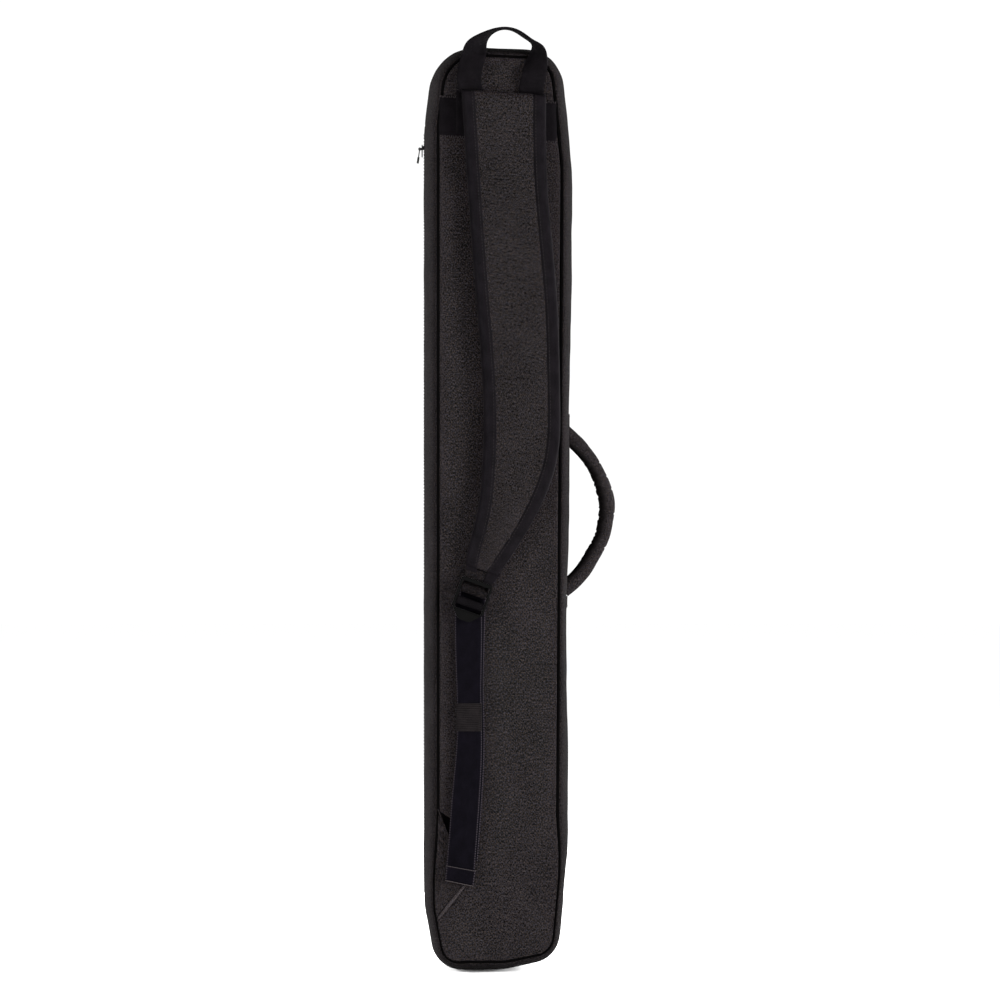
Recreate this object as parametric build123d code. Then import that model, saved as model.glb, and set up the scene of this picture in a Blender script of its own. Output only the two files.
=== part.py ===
"""A long padded carry case for a telescope: zipped side, shoulder strap, side handle and grab loop.

The case stands on its lower end. +Z runs up its length, the back with the shoulder strap faces -Y,
and the side handle points along +X. The origin is on the floor under the middle of the case.
Every size is in millimetres.
"""

import os
from math import asin, cos, degrees, radians, sin, tan

from build123d import *

# The case's outline, seen from the back: corner points (x, z) with the radius of each corner.
CASE_OUTLINE = [
    ((-70, 62), 100),
    ((-58.5, 0), 28),
    ((30, 0), 60),
    ((57, 9), 25),
    ((67.5, 115), 200),
    ((71.5, 750), 150),
    ((60.5, 879), 40),
    ((-60, 884), 32),
    ((-70, 806), 80),
]
DEPTH = 110
EDGE_RADIUS = 11  # how far the gusset curves in to the panel's seam

# The wall is a fabric skin, a foam sheet and a lining.
SKIN = 1.2
FOAM = 8
LINING = 0.8
WALL = SKIN + FOAM + LINING
SEAM_IN = 11.5  # the panel's seam line, in from the outline
PIPING = 2.4
PIPING_PROUD = 0.5
END_PAD = 12

# The front flap opens like a door about a fold near the right side, between the zip's two ends.
ZIP_LOW = 72
ZIP_HIGH = 800
FOLD_X = 50.3
FLAP_GAP = 0.3  # half of the gap round the flap

# The zip lies along the middle of the left side.
ZIP_WINDOW = 8  # half the width of the slot between the two gusset strips
ZIP_FACE = -70.0  # the outer face of the teeth
TEETH_THICK = 1.2
TEETH_WIDE = 2.6
TAPE_THICK = 0.8
ZIP_PART = 0.6  # half of the gap between the two rows of teeth
STOP_LENGTH = 3.5
STOP_PROUD = 0.2
STOP_IN = 1  # from the end of the tape to the stop
TEETH_END = 1.5  # from the stop to the teeth
SLIDER_LOW = 778
SLIDER_HIGH = 790
BRIDGE_X = -74.2
BRIDGE_Z = 786
BRIDGE_R = 0.6
BRIDGE_LONG = 5.2
POST_Y = 2.4
POST_WIDE = 1
POST_TALL = 2
PLATE_GAP = 1.4  # from the teeth to the slider's outer plate
PLATE_THICK = 1
PLATE_Y = (-4.6, 3.2)
INNER_GAP = 0.6  # from the tape to the slider's inner plate
INNER_THICK = 0.8
INNER_Y = (-4, 3)
PLATE_ROUND = 1.4
NECK_WIDE = 0.6
NECK_Z = (785, 789)
PULL_LENGTH = 14
EYE_R = 1.5
EYE_LONG = 3.2
EYE_ROOM = 0.3
LINK_THICK = 1
LINK_WIDE = 3.2
GRIP_LONG = 6
GRIP_THICK = 2
GRIP_WIDE = 6
GRIP_ROUND = 1.5
PULL_TILT = 8  # degrees that the hanging pull stands off the case

# Webbing sewn to the back panel.
BACK = -DEPTH / 2
BAND_CORNERS = [(-65, 833), (65, 827), (65, 788), (-65, 794)]
BAND_THICK = 1.0
WEBBING = 25
SEWN_THICK = 2.2
LEFT_LEG_X = -28.5
RIGHT_LEG_X = 31
LEG_WIDE = 23
TAIL_LOW = 796
ANCHOR_HIGH = 830
ANCHOR_IN = 12  # from a leg's middle to the strap's anchor
LOOP_BASE_Z = 847
LOOP_OUTER = [(-40, 847), (-34.5, 879), (-19, 892.5), (3.7, 898.2), (23.7, 892.5), (39.8, 879), (43, 847)]
LOOP_INNER = [(19, 847), (27.5, 879), (19, 890), (4, 895), (-7.5, 890), (-11.4, 879), (-16.5, 847)]
LOOP_THICK = 2.4
LOOP_ARCH = 6  # half the depth of the twisted webbing at the top of the loop
LOOP_TWIST_Z = 887  # where the loop is fully twisted
LOOP_STAND = 0.5  # the loop stands this far off the band
LOOP_BASE_ROOM = 4  # from the sewn tails to the loop that folds

# The shoulder strap: its two long edges (x, z) from the top to the buckle end.
STRAP_LEFT = [(-36, 838.5), (-30.4, 753), (-21.9, 639), (-15.2, 544), (-15.6, 490), (-22, 433), (-35, 374)]
STRAP_RIGHT = [(44.5, 833.5), (45.5, 753), (55, 639), (57.8, 544), (55, 488), (34, 433), (-6, 367)]
STRAP_END = 19.7  # where the strap stops, above the ladder lock's middle
BINDING = 12.4
STRAP_IN = BACK - 3.6
STRAP_COVER = 1.0
STRAP_FOAM = 7.0
BINDING_PROUD = 0.5
STRAP_OUT = STRAP_IN - 2 * STRAP_COVER - STRAP_FOAM

# The ladder lock lies askew, in its own frame: x along its bars, y up towards the strap.
LOCK_CENTRE = (-25.7, 358)
LOCK_TURN = 19.6
LOCK_Y = -63.7
LOCK_WIDE = 31
LOCK_TOP = 15.6
LOCK_SHOULDER = (16, -13)  # where the frame's sides turn in to the tongue
LOCK_LOW = -24.4
TONGUE_HALF = 6  # half the width of the tongue's end
LOCK_CORNERS = [2.5, 2.5, 2.5, 7, 7, 2.5]
LOCK_THICK = 5
TONGUE_TOP = 1.3  # the tongue is lower than the frame
RAIL = 2.2
TOP_BAR_LOW = 12.2
TOP_BAR_BACK = -0.85  # the strap's end passes behind the top bar
LOOP_BAR_Y = 4.8
LOOP_BAR_R = 1.9
WEB_BAR = (-8.9, -5.4)
WEB_BAR_THICK = 3.2
LOWER_SLOT = -14.5
SADDLE = 1.1
SADDLE_ROOM = 0.3
CUT_PAST = 1  # how far a cut reaches into an opening that is already there

# The strap's end loop, in the same frame: (y, z) points of its outer side and of the hole in it.
LOOP_FABRIC = 1.3
LOOP_ROOM = 0.15
LOOP_BACK = -5.1
LOOP_FRONT = -3.2
LOOP_BEND = 6.2  # where the loop's front layer leaves the bar
LOOP_APEX = 10.4  # where its two layers meet again
LOOP_APEX_HALF = 0.6
LOOP_SIDE_ROOM = 0.5

# The lower webbing: an anchored layer under the free tail, with an elastic keeper round both.
WEB_LINE = [(-28.3, 350), (-28.3, 216), (-38, 85)]
ANCHOR_Y = -57.2
TAIL_Y = -59.1
WEB_THICK = 1.6
TAIL_HEM = 12
HEM_PROUD = 0.8
KEEPER_Z = (230, 256.6)
KEEPER_WALL = 0.7
KEEPER_ROOM = 0.2
STRAP_TAB = [(-60, 161), (-22.8, 98), (-20, 88), (-27.6, 80), (-60, 46.5)]
TAB_THICK = 1.4

# The side handle is an arc that swings about an upright line beside the case.
HANDLE_X = 72
HANDLE_LOW = 359
HANDLE_HIGH = 518
HANDLE_RISE = 34
HANDLE_R = 8.2
HANDLE_CORE_R = 4
CORE_X = 85  # the core stops short of the flattened ends
CORE_ROOM = 0.1
HANDLE_REACH = 60  # past the handle's outer side
HANDLE_WEDGE = 19.5  # half the angle that the handle's flattened ends fill at the swing line
GRIP_IN = 3  # the gathered strip covers the inner side, up to this far inside the arc
SEAM_LOW = 358
SEAM_HIGH = 519.5
PATCH_THICK = 0.9
PATCH_LONG = 12
PATCH_WIDE = 20

FAR = 200  # beyond the case on every side


def block(x, y, z):
    """A box from its low and high limits along each axis."""
    sizes = [high - low for low, high in (x, y, z)]
    middle = [(high + low) / 2 for low, high in (x, y, z)]
    return Pos(*middle) * Box(*sizes)


def slab(face, y):
    """A flat (x, z) face given thickness from y[0] to y[1]."""
    flat = Pos(0, y[1], 0) * (Plane.XZ * face)
    return extrude(flat, amount=y[1] - y[0])


def case_face(inset):
    """The case's outline moved in by inset, as a face in its own plane."""
    corners = [corner for corner, _ in CASE_OUTLINE]
    radii = [radius for _, radius in CASE_OUTLINE]
    face = make_face(FilletPolyline(*corners, radius=radii, close=True))
    return offset(face, amount=-inset, kind=Kind.INTERSECTION) if inset else face


def case_solid(inset):
    """The case as one solid with every surface moved in by inset."""
    half = DEPTH / 2 - inset
    prism = slab(case_face(inset), (-half, half))
    rims = prism.faces().filter_by(Axis.Y).edges()
    return fillet(rims, EDGE_RADIUS - inset)


def panel_prism(inset):
    return slab(case_face(inset), (-FAR, FAR))


SKIN_SHELL = case_solid(0) - case_solid(SKIN)
FOAM_SHELL = case_solid(SKIN) - case_solid(SKIN + FOAM)
LINING_SHELL = case_solid(SKIN + FOAM) - case_solid(WALL)
INSIDE = case_solid(WALL)
SKIN_BACK = DEPTH / 2 - SKIN  # how far from the middle each layer of the front and back panels ends
FOAM_BACK = SKIN_BACK - FOAM
LINING_BACK = FOAM_BACK - LINING
PANEL = panel_prism(SEAM_IN + PIPING / 2)
GUSSETS = SKIN_SHELL - panel_prism(SEAM_IN - PIPING / 2)
LEFT_X = -50

# What opens with the flap, and the slightly larger opening that it leaves in the rest of the case.
FLAP_Z = (ZIP_LOW + FLAP_GAP, ZIP_HIGH - FLAP_GAP)
FLAP_FRONT = block((-FAR, FOLD_X - FLAP_GAP), (LINING_BACK, FAR), FLAP_Z)
FLAP_SIDE = block((-FAR, LEFT_X), (ZIP_WINDOW, FAR), FLAP_Z)
HOLE_FRONT = block((-FAR, FOLD_X + FLAP_GAP), (LINING_BACK, FAR), (ZIP_LOW, ZIP_HIGH))
HOLE_SIDE = block((-FAR, LEFT_X), (0, FAR), (ZIP_LOW, ZIP_HIGH))
WINDOW = block((-FAR, LEFT_X), (-ZIP_WINDOW, ZIP_WINDOW), (ZIP_LOW, ZIP_HIGH))
MIDDLE_Z = (SEAM_LOW + SEAM_HIGH) / 2
UPPER = block((-FAR, FAR), (-FAR, FAR), (MIDDLE_Z, 5 * FAR))
LOWER = block((-FAR, FAR), (-FAR, FAR), (-FAR, MIDDLE_Z))
LEFT_SIDE = block((-FAR, LEFT_X), (-FAR, FAR), (ZIP_LOW, ZIP_HIGH))
HANDLE_SIDE = block((-LEFT_X, FAR), (-FAR, FAR), (SEAM_LOW, SEAM_HIGH))


def fixed(shell):
    """What stays of a shell when the flap's share and the zip's slot are taken out."""
    return shell - HOLE_FRONT - HOLE_SIDE - WINDOW


def piping(front):
    """The cord sewn in the seam round a panel, as a square ring that stands slightly proud."""
    y = (SKIN_BACK, DEPTH / 2 + PIPING_PROUD) if front else (-DEPTH / 2 - PIPING_PROUD, -SKIN_BACK)
    outer = slab(case_face(SEAM_IN - PIPING / 2), y)
    return outer - slab(case_face(SEAM_IN + PIPING / 2), y)


def across(y):
    """Everything between two depths."""
    return block((-FAR, FAR), y, (-FAR, 5 * FAR))


def back_nodes():
    return {
        "back_panel": (SKIN_SHELL & PANEL) & across((-FAR, 0)),
        "back_foam": FOAM_SHELL & across((-FAR, -FOAM_BACK)),
        "back_lining": LINING_SHELL & across((-FAR, -LINING_BACK)),
        "back_piping": piping(front=False),
    }


def gusset_nodes():
    skins = fixed(GUSSETS)
    rest = skins - LEFT_SIDE - HANDLE_SIDE
    return {
        "upper_gusset": rest & UPPER,
        "lower_gusset": rest & LOWER,
        "handle_gusset": skins & HANDLE_SIDE,
        "rear_zip_gusset": skins & LEFT_SIDE,
    }


def foam_nodes():
    """The foam and lining round the sides, and on the part of the front that doesn't open."""
    side_foam = fixed(FOAM_SHELL & across((-FOAM_BACK, FOAM_BACK)))
    side_lining = fixed(LINING_SHELL & across((-LINING_BACK, LINING_BACK)))
    top = block((-FAR, FAR), (-FAR, FAR), (ZIP_HIGH, 5 * FAR))
    low = block((-FAR, FAR), (-FAR, FAR), (-FAR, ZIP_LOW))
    middle = block((-FAR, FAR), (-FAR, FAR), (ZIP_LOW, ZIP_HIGH))
    right = block((0, FAR), (-FAR, FAR), (ZIP_LOW, ZIP_HIGH))
    return {
        "top_foam": side_foam & top,
        "bottom_foam": side_foam & low,
        "right_foam": side_foam & right,
        "rear_zip_foam": (side_foam & middle) - right,
        "front_border_foam": fixed(FOAM_SHELL & across((FOAM_BACK, FAR))),
        "side_lining": side_lining,
        "front_border_lining": fixed(LINING_SHELL & across((LINING_BACK, FAR))),
        "front_border": fixed((SKIN_SHELL & PANEL) & across((0, FAR))),
        "front_piping": fixed(piping(front=True)),
    }


def end_pads():
    floor_z = WALL
    roof_z = max(z for (_, z), _ in CASE_OUTLINE) - WALL
    return {
        "bottom_end_pad": INSIDE & block((-FAR, FAR), (-FAR, FAR), (0, floor_z + END_PAD)),
        "top_end_pad": INSIDE & block((-FAR, FAR), (-FAR, FAR), (roof_z - END_PAD, 5 * FAR)),
    }


def flap_nodes():
    """Everything that swings with the front flap."""
    return {
        "front_panel": (SKIN_SHELL & PANEL) & FLAP_FRONT,
        "front_foam": (FOAM_SHELL & across((FOAM_BACK, FAR))) & FLAP_FRONT,
        "front_lining": (LINING_SHELL & across((LINING_BACK, FAR))) & FLAP_FRONT,
        "front_zip_gusset": GUSSETS & FLAP_SIDE,
        "front_zip_foam": (FOAM_SHELL & across((0, FOAM_BACK))) & FLAP_SIDE,
        "front_zip_lining": (LINING_SHELL & across((0, LINING_BACK))) & FLAP_SIDE,
        "front_flap_piping": piping(front=True) & FLAP_FRONT,
    }


def zip_half(side, low, high):
    """One half of the zip: its tape and its row of teeth. side is -1 at the back, 1 at the front."""
    tape_x = (ZIP_FACE + TEETH_THICK, ZIP_FACE + TEETH_THICK + TAPE_THICK)
    tape_y = sorted((side * ZIP_PART, side * ZIP_WINDOW))
    teeth_y = sorted((side * ZIP_PART, side * (ZIP_PART + TEETH_WIDE)))
    inner = STOP_LENGTH + TEETH_END
    tape = block(tape_x, tape_y, (low, high))
    teeth = block((ZIP_FACE, tape_x[0]), teeth_y, (ZIP_LOW + inner, ZIP_HIGH - inner))
    return tape, teeth


def zip_stops():
    """The bottom and top stops, clamped on the fixed half of the zip."""
    x = (ZIP_FACE - STOP_PROUD, ZIP_FACE + TEETH_THICK)
    y = (-ZIP_PART - TEETH_WIDE, -ZIP_PART)
    low = ZIP_LOW + STOP_IN
    high = ZIP_HIGH - STOP_IN
    return block(x, y, (low, low + STOP_LENGTH)) + block(x, y, (high - STOP_LENGTH, high))


def zip_nodes():
    rear_tape, rear_teeth = zip_half(-1, ZIP_LOW, ZIP_HIGH)
    front_tape, front_teeth = zip_half(1, ZIP_LOW + FLAP_GAP, ZIP_HIGH - FLAP_GAP)
    return {
        "rear_zip_tape": rear_tape,
        "rear_zip_teeth": rear_teeth,
        "zip_stops": zip_stops(),
        "front_zip_tape": front_tape,
        "front_zip_teeth": front_teeth,
    }


def slider_body():
    """The slider: an outer and an inner plate joined by a neck between the teeth, and a bridge."""
    z = (SLIDER_LOW, SLIDER_HIGH)
    outer_face = ZIP_FACE - PLATE_GAP
    inner_face = ZIP_FACE + TEETH_THICK + TAPE_THICK + INNER_GAP
    outer = block((outer_face - PLATE_THICK, outer_face), PLATE_Y, z)
    outer = fillet(outer.edges().filter_by(Axis.X), PLATE_ROUND)
    inner = block((inner_face, inner_face + INNER_THICK), INNER_Y, z)
    inner = fillet(inner.edges().filter_by(Axis.X), PLATE_ROUND)
    plate_middle = outer_face - PLATE_THICK / 2
    neck_x = (plate_middle, inner_face + INNER_THICK / 2)
    body = outer + inner + block(neck_x, (-NECK_WIDE / 2, NECK_WIDE / 2), NECK_Z)
    for y in (-POST_Y, POST_Y):
        post_y = (y - POST_WIDE / 2, y + POST_WIDE / 2)
        post_z = (BRIDGE_Z - POST_TALL / 2, BRIDGE_Z + POST_TALL / 2)
        body += block((BRIDGE_X - BRIDGE_R, plate_middle), post_y, post_z)
    bridge = Pos(BRIDGE_X, 0, BRIDGE_Z) * Rot(90, 0, 0) * Cylinder(BRIDGE_R, BRIDGE_LONG)
    return body + bridge


def pull_parts():
    """The pull: a flat link with an eye round the slider's bridge, and a thicker grip at its end."""
    eye = Rot(90, 0, 0) * (Cylinder(EYE_R, EYE_LONG) - Cylinder(BRIDGE_R + EYE_ROOM, 2 * EYE_LONG))
    link_z = (GRIP_LONG - PULL_LENGTH, EYE_ROOM - EYE_R)
    link = block((-LINK_THICK / 2, LINK_THICK / 2), (-LINK_WIDE / 2, LINK_WIDE / 2), link_z)
    grip_z = (-PULL_LENGTH, GRIP_LONG - PULL_LENGTH)
    grip = block((-GRIP_THICK / 2, GRIP_THICK / 2), (-GRIP_WIDE / 2, GRIP_WIDE / 2), grip_z)
    grip = fillet(grip.edges().filter_by(Axis.X), GRIP_ROUND)
    place = Pos(BRIDGE_X, 0, BRIDGE_Z) * Rot(0, PULL_TILT, 0)
    return place * (eye + link), place * grip


def sewn_nodes():
    """The webbing and fabric sewn flat on the back panel."""
    band = slab(make_face(Polyline(*BAND_CORNERS, close=True)), (BACK - BAND_THICK, BACK))
    y = (BACK - BAND_THICK - SEWN_THICK, BACK - BAND_THICK)
    z = (TAIL_LOW, LOOP_BASE_Z - LOOP_BASE_ROOM)
    half = LEG_WIDE / 2
    tails = [block((x - half, x + half), y, z) for x in (LEFT_LEG_X, RIGHT_LEG_X)]
    anchor = block((LEFT_LEG_X + ANCHOR_IN, RIGHT_LEG_X - ANCHOR_IN), y, (TAIL_LOW, ANCHOR_HIGH))
    tab = slab(make_face(Polyline(*STRAP_TAB, close=True)), (BACK - TAB_THICK, BACK))
    patch_shell = case_solid(-PATCH_THICK) - case_solid(0)
    patches = []
    for low in (SEAM_HIGH, SEAM_LOW - PATCH_LONG):
        reach = block((0, FAR), (-PATCH_WIDE / 2, PATCH_WIDE / 2), (low, low + PATCH_LONG))
        patches.append(patch_shell & reach)
    return {
        "back_band": band & PANEL,
        "grab_loop_tails": tails[0] + tails[1],
        "strap_anchor": anchor,
        "strap_tab": tab & PANEL,
        "handle_seam_patches": patches[0] + patches[1],
    }


def grab_loop():
    """A loop of webbing that stands over the top end; its arch is twisted edge-on."""
    edges = [Spline(*LOOP_OUTER), Line(LOOP_OUTER[-1], LOOP_INNER[0])]
    edges += [Spline(*LOOP_INNER), Line(LOOP_INNER[-1], LOOP_OUTER[0])]
    face = make_face(edges)
    middle = BACK - BAND_THICK - LOOP_THICK / 2 - LOOP_STAND
    band = slab(face, (middle - LOOP_THICK / 2, middle + LOOP_THICK / 2))
    arch = slab(face, (middle - LOOP_ARCH, middle + LOOP_ARCH))
    return band + (arch & block((-FAR, FAR), (-FAR, FAR), (LOOP_TWIST_Z, 5 * FAR)))


def shifted(points, x):
    return [(px + x, pz) for px, pz in points]


def between(left, right, y):
    """A flat piece between two long edges, given thickness in y and cut square to the ladder lock."""
    edges = [Spline(*left), Line(left[-1], right[-1]), Spline(*reversed(right)), Line(right[0], left[0])]
    below = lock_place() * block((-FAR, FAR), (-FAR, STRAP_END), (-FAR, FAR))
    return slab(make_face(edges), y) - below


def strap_nodes():
    """The padded strap: cover, foam and backing between two bound edges."""
    left_in = shifted(STRAP_LEFT, BINDING)
    right_in = shifted(STRAP_RIGHT, -BINDING)
    backing_y = (STRAP_IN - STRAP_COVER, STRAP_IN)
    foam_y = (backing_y[0] - STRAP_FOAM, backing_y[0])
    cover_y = (STRAP_OUT, foam_y[0])
    binding_y = (STRAP_OUT - BINDING_PROUD, STRAP_IN)
    return {
        "strap_backing": between(left_in, right_in, backing_y),
        "strap_foam": between(left_in, right_in, foam_y),
        "strap_cover": between(left_in, right_in, cover_y),
        "strap_binding_left": between(STRAP_LEFT, left_in, binding_y),
        "strap_binding_right": between(right_in, STRAP_RIGHT, binding_y),
    }


def lock_place():
    """The ladder lock's own frame: x along its bars, y up towards the strap, z away from the case."""
    along = (cos(radians(LOCK_TURN)), 0, -sin(radians(LOCK_TURN)))
    return Plane(origin=(LOCK_CENTRE[0], LOCK_Y, LOCK_CENTRE[1]), x_dir=along, z_dir=(0, -1, 0))


def ladder_lock():
    """A ladder lock: a flat top bar, a round bar for the strap, a bar for the webbing, and a tongue."""
    half = LOCK_WIDE / 2
    shoulder_x, shoulder_y = LOCK_SHOULDER
    right = [(half, LOCK_TOP), (shoulder_x, shoulder_y), (TONGUE_HALF, LOCK_LOW)]
    corners = [(-half, LOCK_TOP), *right, (-TONGUE_HALF, LOCK_LOW), (-shoulder_x, shoulder_y)]
    outline = make_face(FilletPolyline(*corners, radius=LOCK_CORNERS, close=True))
    frame = extrude(outline, amount=LOCK_THICK / 2, both=True)
    slot = half - RAIL
    through = (-LOCK_THICK, LOCK_THICK)
    frame -= block((-slot, slot), (WEB_BAR[1], TOP_BAR_LOW), through)
    frame -= block((-slot, slot), (LOWER_SLOT, WEB_BAR[0]), through)
    frame -= block((-slot, slot), (TOP_BAR_LOW - CUT_PAST, FAR), (-LOCK_THICK, TOP_BAR_BACK))
    frame -= block((-slot, slot), WEB_BAR, (WEB_BAR_THICK / 2, LOCK_THICK))
    frame -= block((-slot, slot), WEB_BAR, (-LOCK_THICK, -WEB_BAR_THICK / 2))
    frame -= block((-half, half), (-FAR, LOWER_SLOT - RAIL / 2), (TONGUE_TOP, LOCK_THICK))
    loop_bar = Pos(0, LOOP_BAR_Y, 0) * Rot(0, 90, 0) * Cylinder(LOOP_BAR_R, 2 * slot + CUT_PAST)
    return lock_place() * (frame + loop_bar)


def side_cut(points, half):
    """A solid from (y, z) points in the ladder lock's frame, reaching half each way along its bars."""
    return extrude(Plane.YZ * make_face(Polyline(*points, close=True)), amount=half, both=True)


def buckle_loop():
    """The strap's end: it passes behind the lock's top bar and folds round the bar below it."""
    wide = LOCK_WIDE / 2 - RAIL - LOOP_SIDE_ROOM
    inner_r = LOOP_BAR_R + LOOP_ROOM
    outer_r = inner_r + LOOP_FABRIC
    front = (outer_r**2 - (LOOP_BEND - LOOP_BAR_Y) ** 2) ** 0.5
    outer = [(LOOP_BAR_Y, outer_r), (LOOP_BEND, front), (TOP_BAR_LOW, LOOP_FRONT), (STRAP_END, LOOP_FRONT)]
    outer += [(STRAP_END, LOOP_BACK), (TOP_BAR_LOW, LOOP_BACK), (LOOP_BAR_Y, -outer_r)]
    middle = (LOOP_FRONT + LOOP_BACK) / 2
    apex = [(LOOP_APEX, middle + LOOP_APEX_HALF), (LOOP_APEX, middle)]
    inner = [(LOOP_BAR_Y, inner_r), *apex, (LOOP_BAR_Y, -inner_r)]
    bar = Pos(0, LOOP_BAR_Y, 0) * Rot(0, 90, 0)
    turn = side_cut(outer, wide) + bar * Cylinder(outer_r, 2 * wide)
    hole = side_cut(inner, 2 * wide) + bar * Cylinder(inner_r, 4 * wide)
    return lock_place() * (turn - hole)


def webbing_turn():
    """The stretch of webbing that lies over its bar and goes down both sides of it."""
    wide = LOCK_WIDE / 2 - RAIL - SADDLE_ROOM
    low, high = WEB_BAR
    half = WEB_BAR_THICK / 2
    turn = block((-wide, wide), (low - SADDLE, high + SADDLE), (-half, half + SADDLE))
    return lock_place() * (turn - block((-FAR, FAR), (low, high), (-FAR, half)))


def ribbon(points, width, y):
    """A flat strip of one width along a line of (x, z) points, with mitred corners."""
    line = [Vector(x, z) for x, z in points]
    ways = [(b - a).normalized() for a, b in zip(line, line[1:])]
    sides = [way.rotate(Axis.Z, 90) for way in ways]
    left, right = [], []
    for i, point in enumerate(line):
        before, after = sides[max(i - 1, 0)], sides[min(i, len(sides) - 1)]
        middle = (before + after).normalized()
        reach = middle * (width / 2 / middle.dot(after))
        left.append(point + reach)
        right.append(point - reach)
    return slab(make_face(Polyline(*left, *reversed(right), close=True)), y)


def webbing_nodes():
    """The two layers of the lower webbing, the folded hem of the tail, and the keeper."""
    last = Vector(*WEB_LINE[-1])
    way = (last - Vector(*WEB_LINE[-2])).normalized()
    fold = last - way * TAIL_HEM
    tail_line = [*WEB_LINE[:-1], (fold.X, fold.Y)]
    tail_y = (TAIL_Y - WEB_THICK, TAIL_Y)
    x = WEB_LINE[0][0]
    inner_x = (x - WEBBING / 2 - KEEPER_ROOM, x + WEBBING / 2 + KEEPER_ROOM)
    inner_y = (tail_y[0] - KEEPER_ROOM, ANCHOR_Y + KEEPER_ROOM)
    outer_x = (inner_x[0] - KEEPER_WALL, inner_x[1] + KEEPER_WALL)
    outer_y = (inner_y[0] - KEEPER_WALL, inner_y[1] + KEEPER_WALL)
    return {
        "webbing_anchor": ribbon(WEB_LINE, WEBBING, (ANCHOR_Y - WEB_THICK, ANCHOR_Y)),
        "webbing_tail": ribbon(tail_line, WEBBING, tail_y),
        "tail_hem": ribbon([(fold.X, fold.Y), WEB_LINE[-1]], WEBBING, (tail_y[0] - HEM_PROUD, TAIL_Y)),
        "elastic_keeper": block(outer_x, outer_y, KEEPER_Z) - block(inner_x, inner_y, (0, 2 * FAR)),
    }


def handle_nodes():
    """The handle: a core, a padded cover and the gathered strip along its inner side."""
    half_chord = (HANDLE_HIGH - HANDLE_LOW) / 2
    arc_r = (half_chord**2 + HANDLE_RISE**2) / (2 * HANDLE_RISE)
    middle = (HANDLE_HIGH + HANDLE_LOW) / 2
    centre = (HANDLE_X + HANDLE_RISE - arc_r, 0, middle)
    axis = Axis(centre, (0, 1, 0))
    sweep_angle = 2 * degrees(asin(half_chord / arc_r))
    section = Pos(HANDLE_X + HANDLE_RISE, 0, middle)

    def tube(radius, start_x):
        profile = section * Circle(radius)
        whole = revolve(profile, axis, sweep_angle).rotate(axis, -sweep_angle / 2)
        return whole & block((start_x, FAR), (-FAR, FAR), (0, 5 * FAR))

    spread = HANDLE_REACH * tan(radians(HANDLE_WEDGE))
    end_x = HANDLE_X + HANDLE_REACH
    wedge_face = make_face(Polyline((HANDLE_X, 0), (end_x, spread), (end_x, -spread), close=True))
    wedge = extrude(wedge_face, amount=5 * FAR)
    drum = Pos(*centre) * Rot(90, 0, 0) * Cylinder(arc_r - GRIP_IN, FAR)
    padding = tube(HANDLE_R, HANDLE_X) & wedge
    padding -= tube(HANDLE_CORE_R + CORE_ROOM, CORE_X - CORE_ROOM)
    return {
        "handle_core": tube(HANDLE_CORE_R, CORE_X),
        "handle_cover": padding - drum,
        "handle_grip_strip": padding & drum,
    }


def all_nodes():
    link, grip = pull_parts()
    return {
        **back_nodes(),
        **gusset_nodes(),
        **foam_nodes(),
        **end_pads(),
        **flap_nodes(),
        **zip_nodes(),
        "zip_slider": slider_body(),
        "zip_pull_link": link,
        "zip_pull_grip": grip,
        **sewn_nodes(),
        "grab_loop": grab_loop(),
        **strap_nodes(),
        "buckle_loop": buckle_loop(),
        "ladder_lock": ladder_lock(),
        "webbing_turn": webbing_turn(),
        **webbing_nodes(),
        **handle_nodes(),
    }


os.makedirs("parts", exist_ok=True)
for name, shape in all_nodes().items():
    export_step(shape, f"parts/{name}.step")
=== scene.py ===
"""The looks of a padded telescope carry case: its cloth, seams, webbing, strap, handle, zip and inside.

Lengths are in millimetres in the case's own frame (+Z up its length, -Y towards the shoulder strap,
+X towards the side handle), and turn into metres when a mesh is made.
"""

import math

import bmesh
import bpy
import numpy as np
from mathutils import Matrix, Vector


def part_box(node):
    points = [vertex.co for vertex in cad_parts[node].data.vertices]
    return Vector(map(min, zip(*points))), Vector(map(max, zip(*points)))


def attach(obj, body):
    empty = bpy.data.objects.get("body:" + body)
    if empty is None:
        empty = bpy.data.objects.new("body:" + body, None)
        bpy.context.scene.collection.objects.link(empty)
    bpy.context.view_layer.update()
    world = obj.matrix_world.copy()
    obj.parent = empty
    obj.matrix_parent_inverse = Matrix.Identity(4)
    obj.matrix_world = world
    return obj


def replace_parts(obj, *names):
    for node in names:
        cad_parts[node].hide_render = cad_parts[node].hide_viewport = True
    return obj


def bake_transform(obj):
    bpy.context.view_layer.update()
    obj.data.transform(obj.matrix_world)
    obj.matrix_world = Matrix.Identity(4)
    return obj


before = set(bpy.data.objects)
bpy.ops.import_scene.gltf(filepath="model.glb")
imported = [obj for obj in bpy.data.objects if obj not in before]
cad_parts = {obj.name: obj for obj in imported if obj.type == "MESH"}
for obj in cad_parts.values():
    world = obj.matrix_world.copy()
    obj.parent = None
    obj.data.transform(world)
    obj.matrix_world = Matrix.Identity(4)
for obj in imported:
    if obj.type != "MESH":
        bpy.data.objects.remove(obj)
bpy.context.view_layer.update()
MM = 0.001

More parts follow.
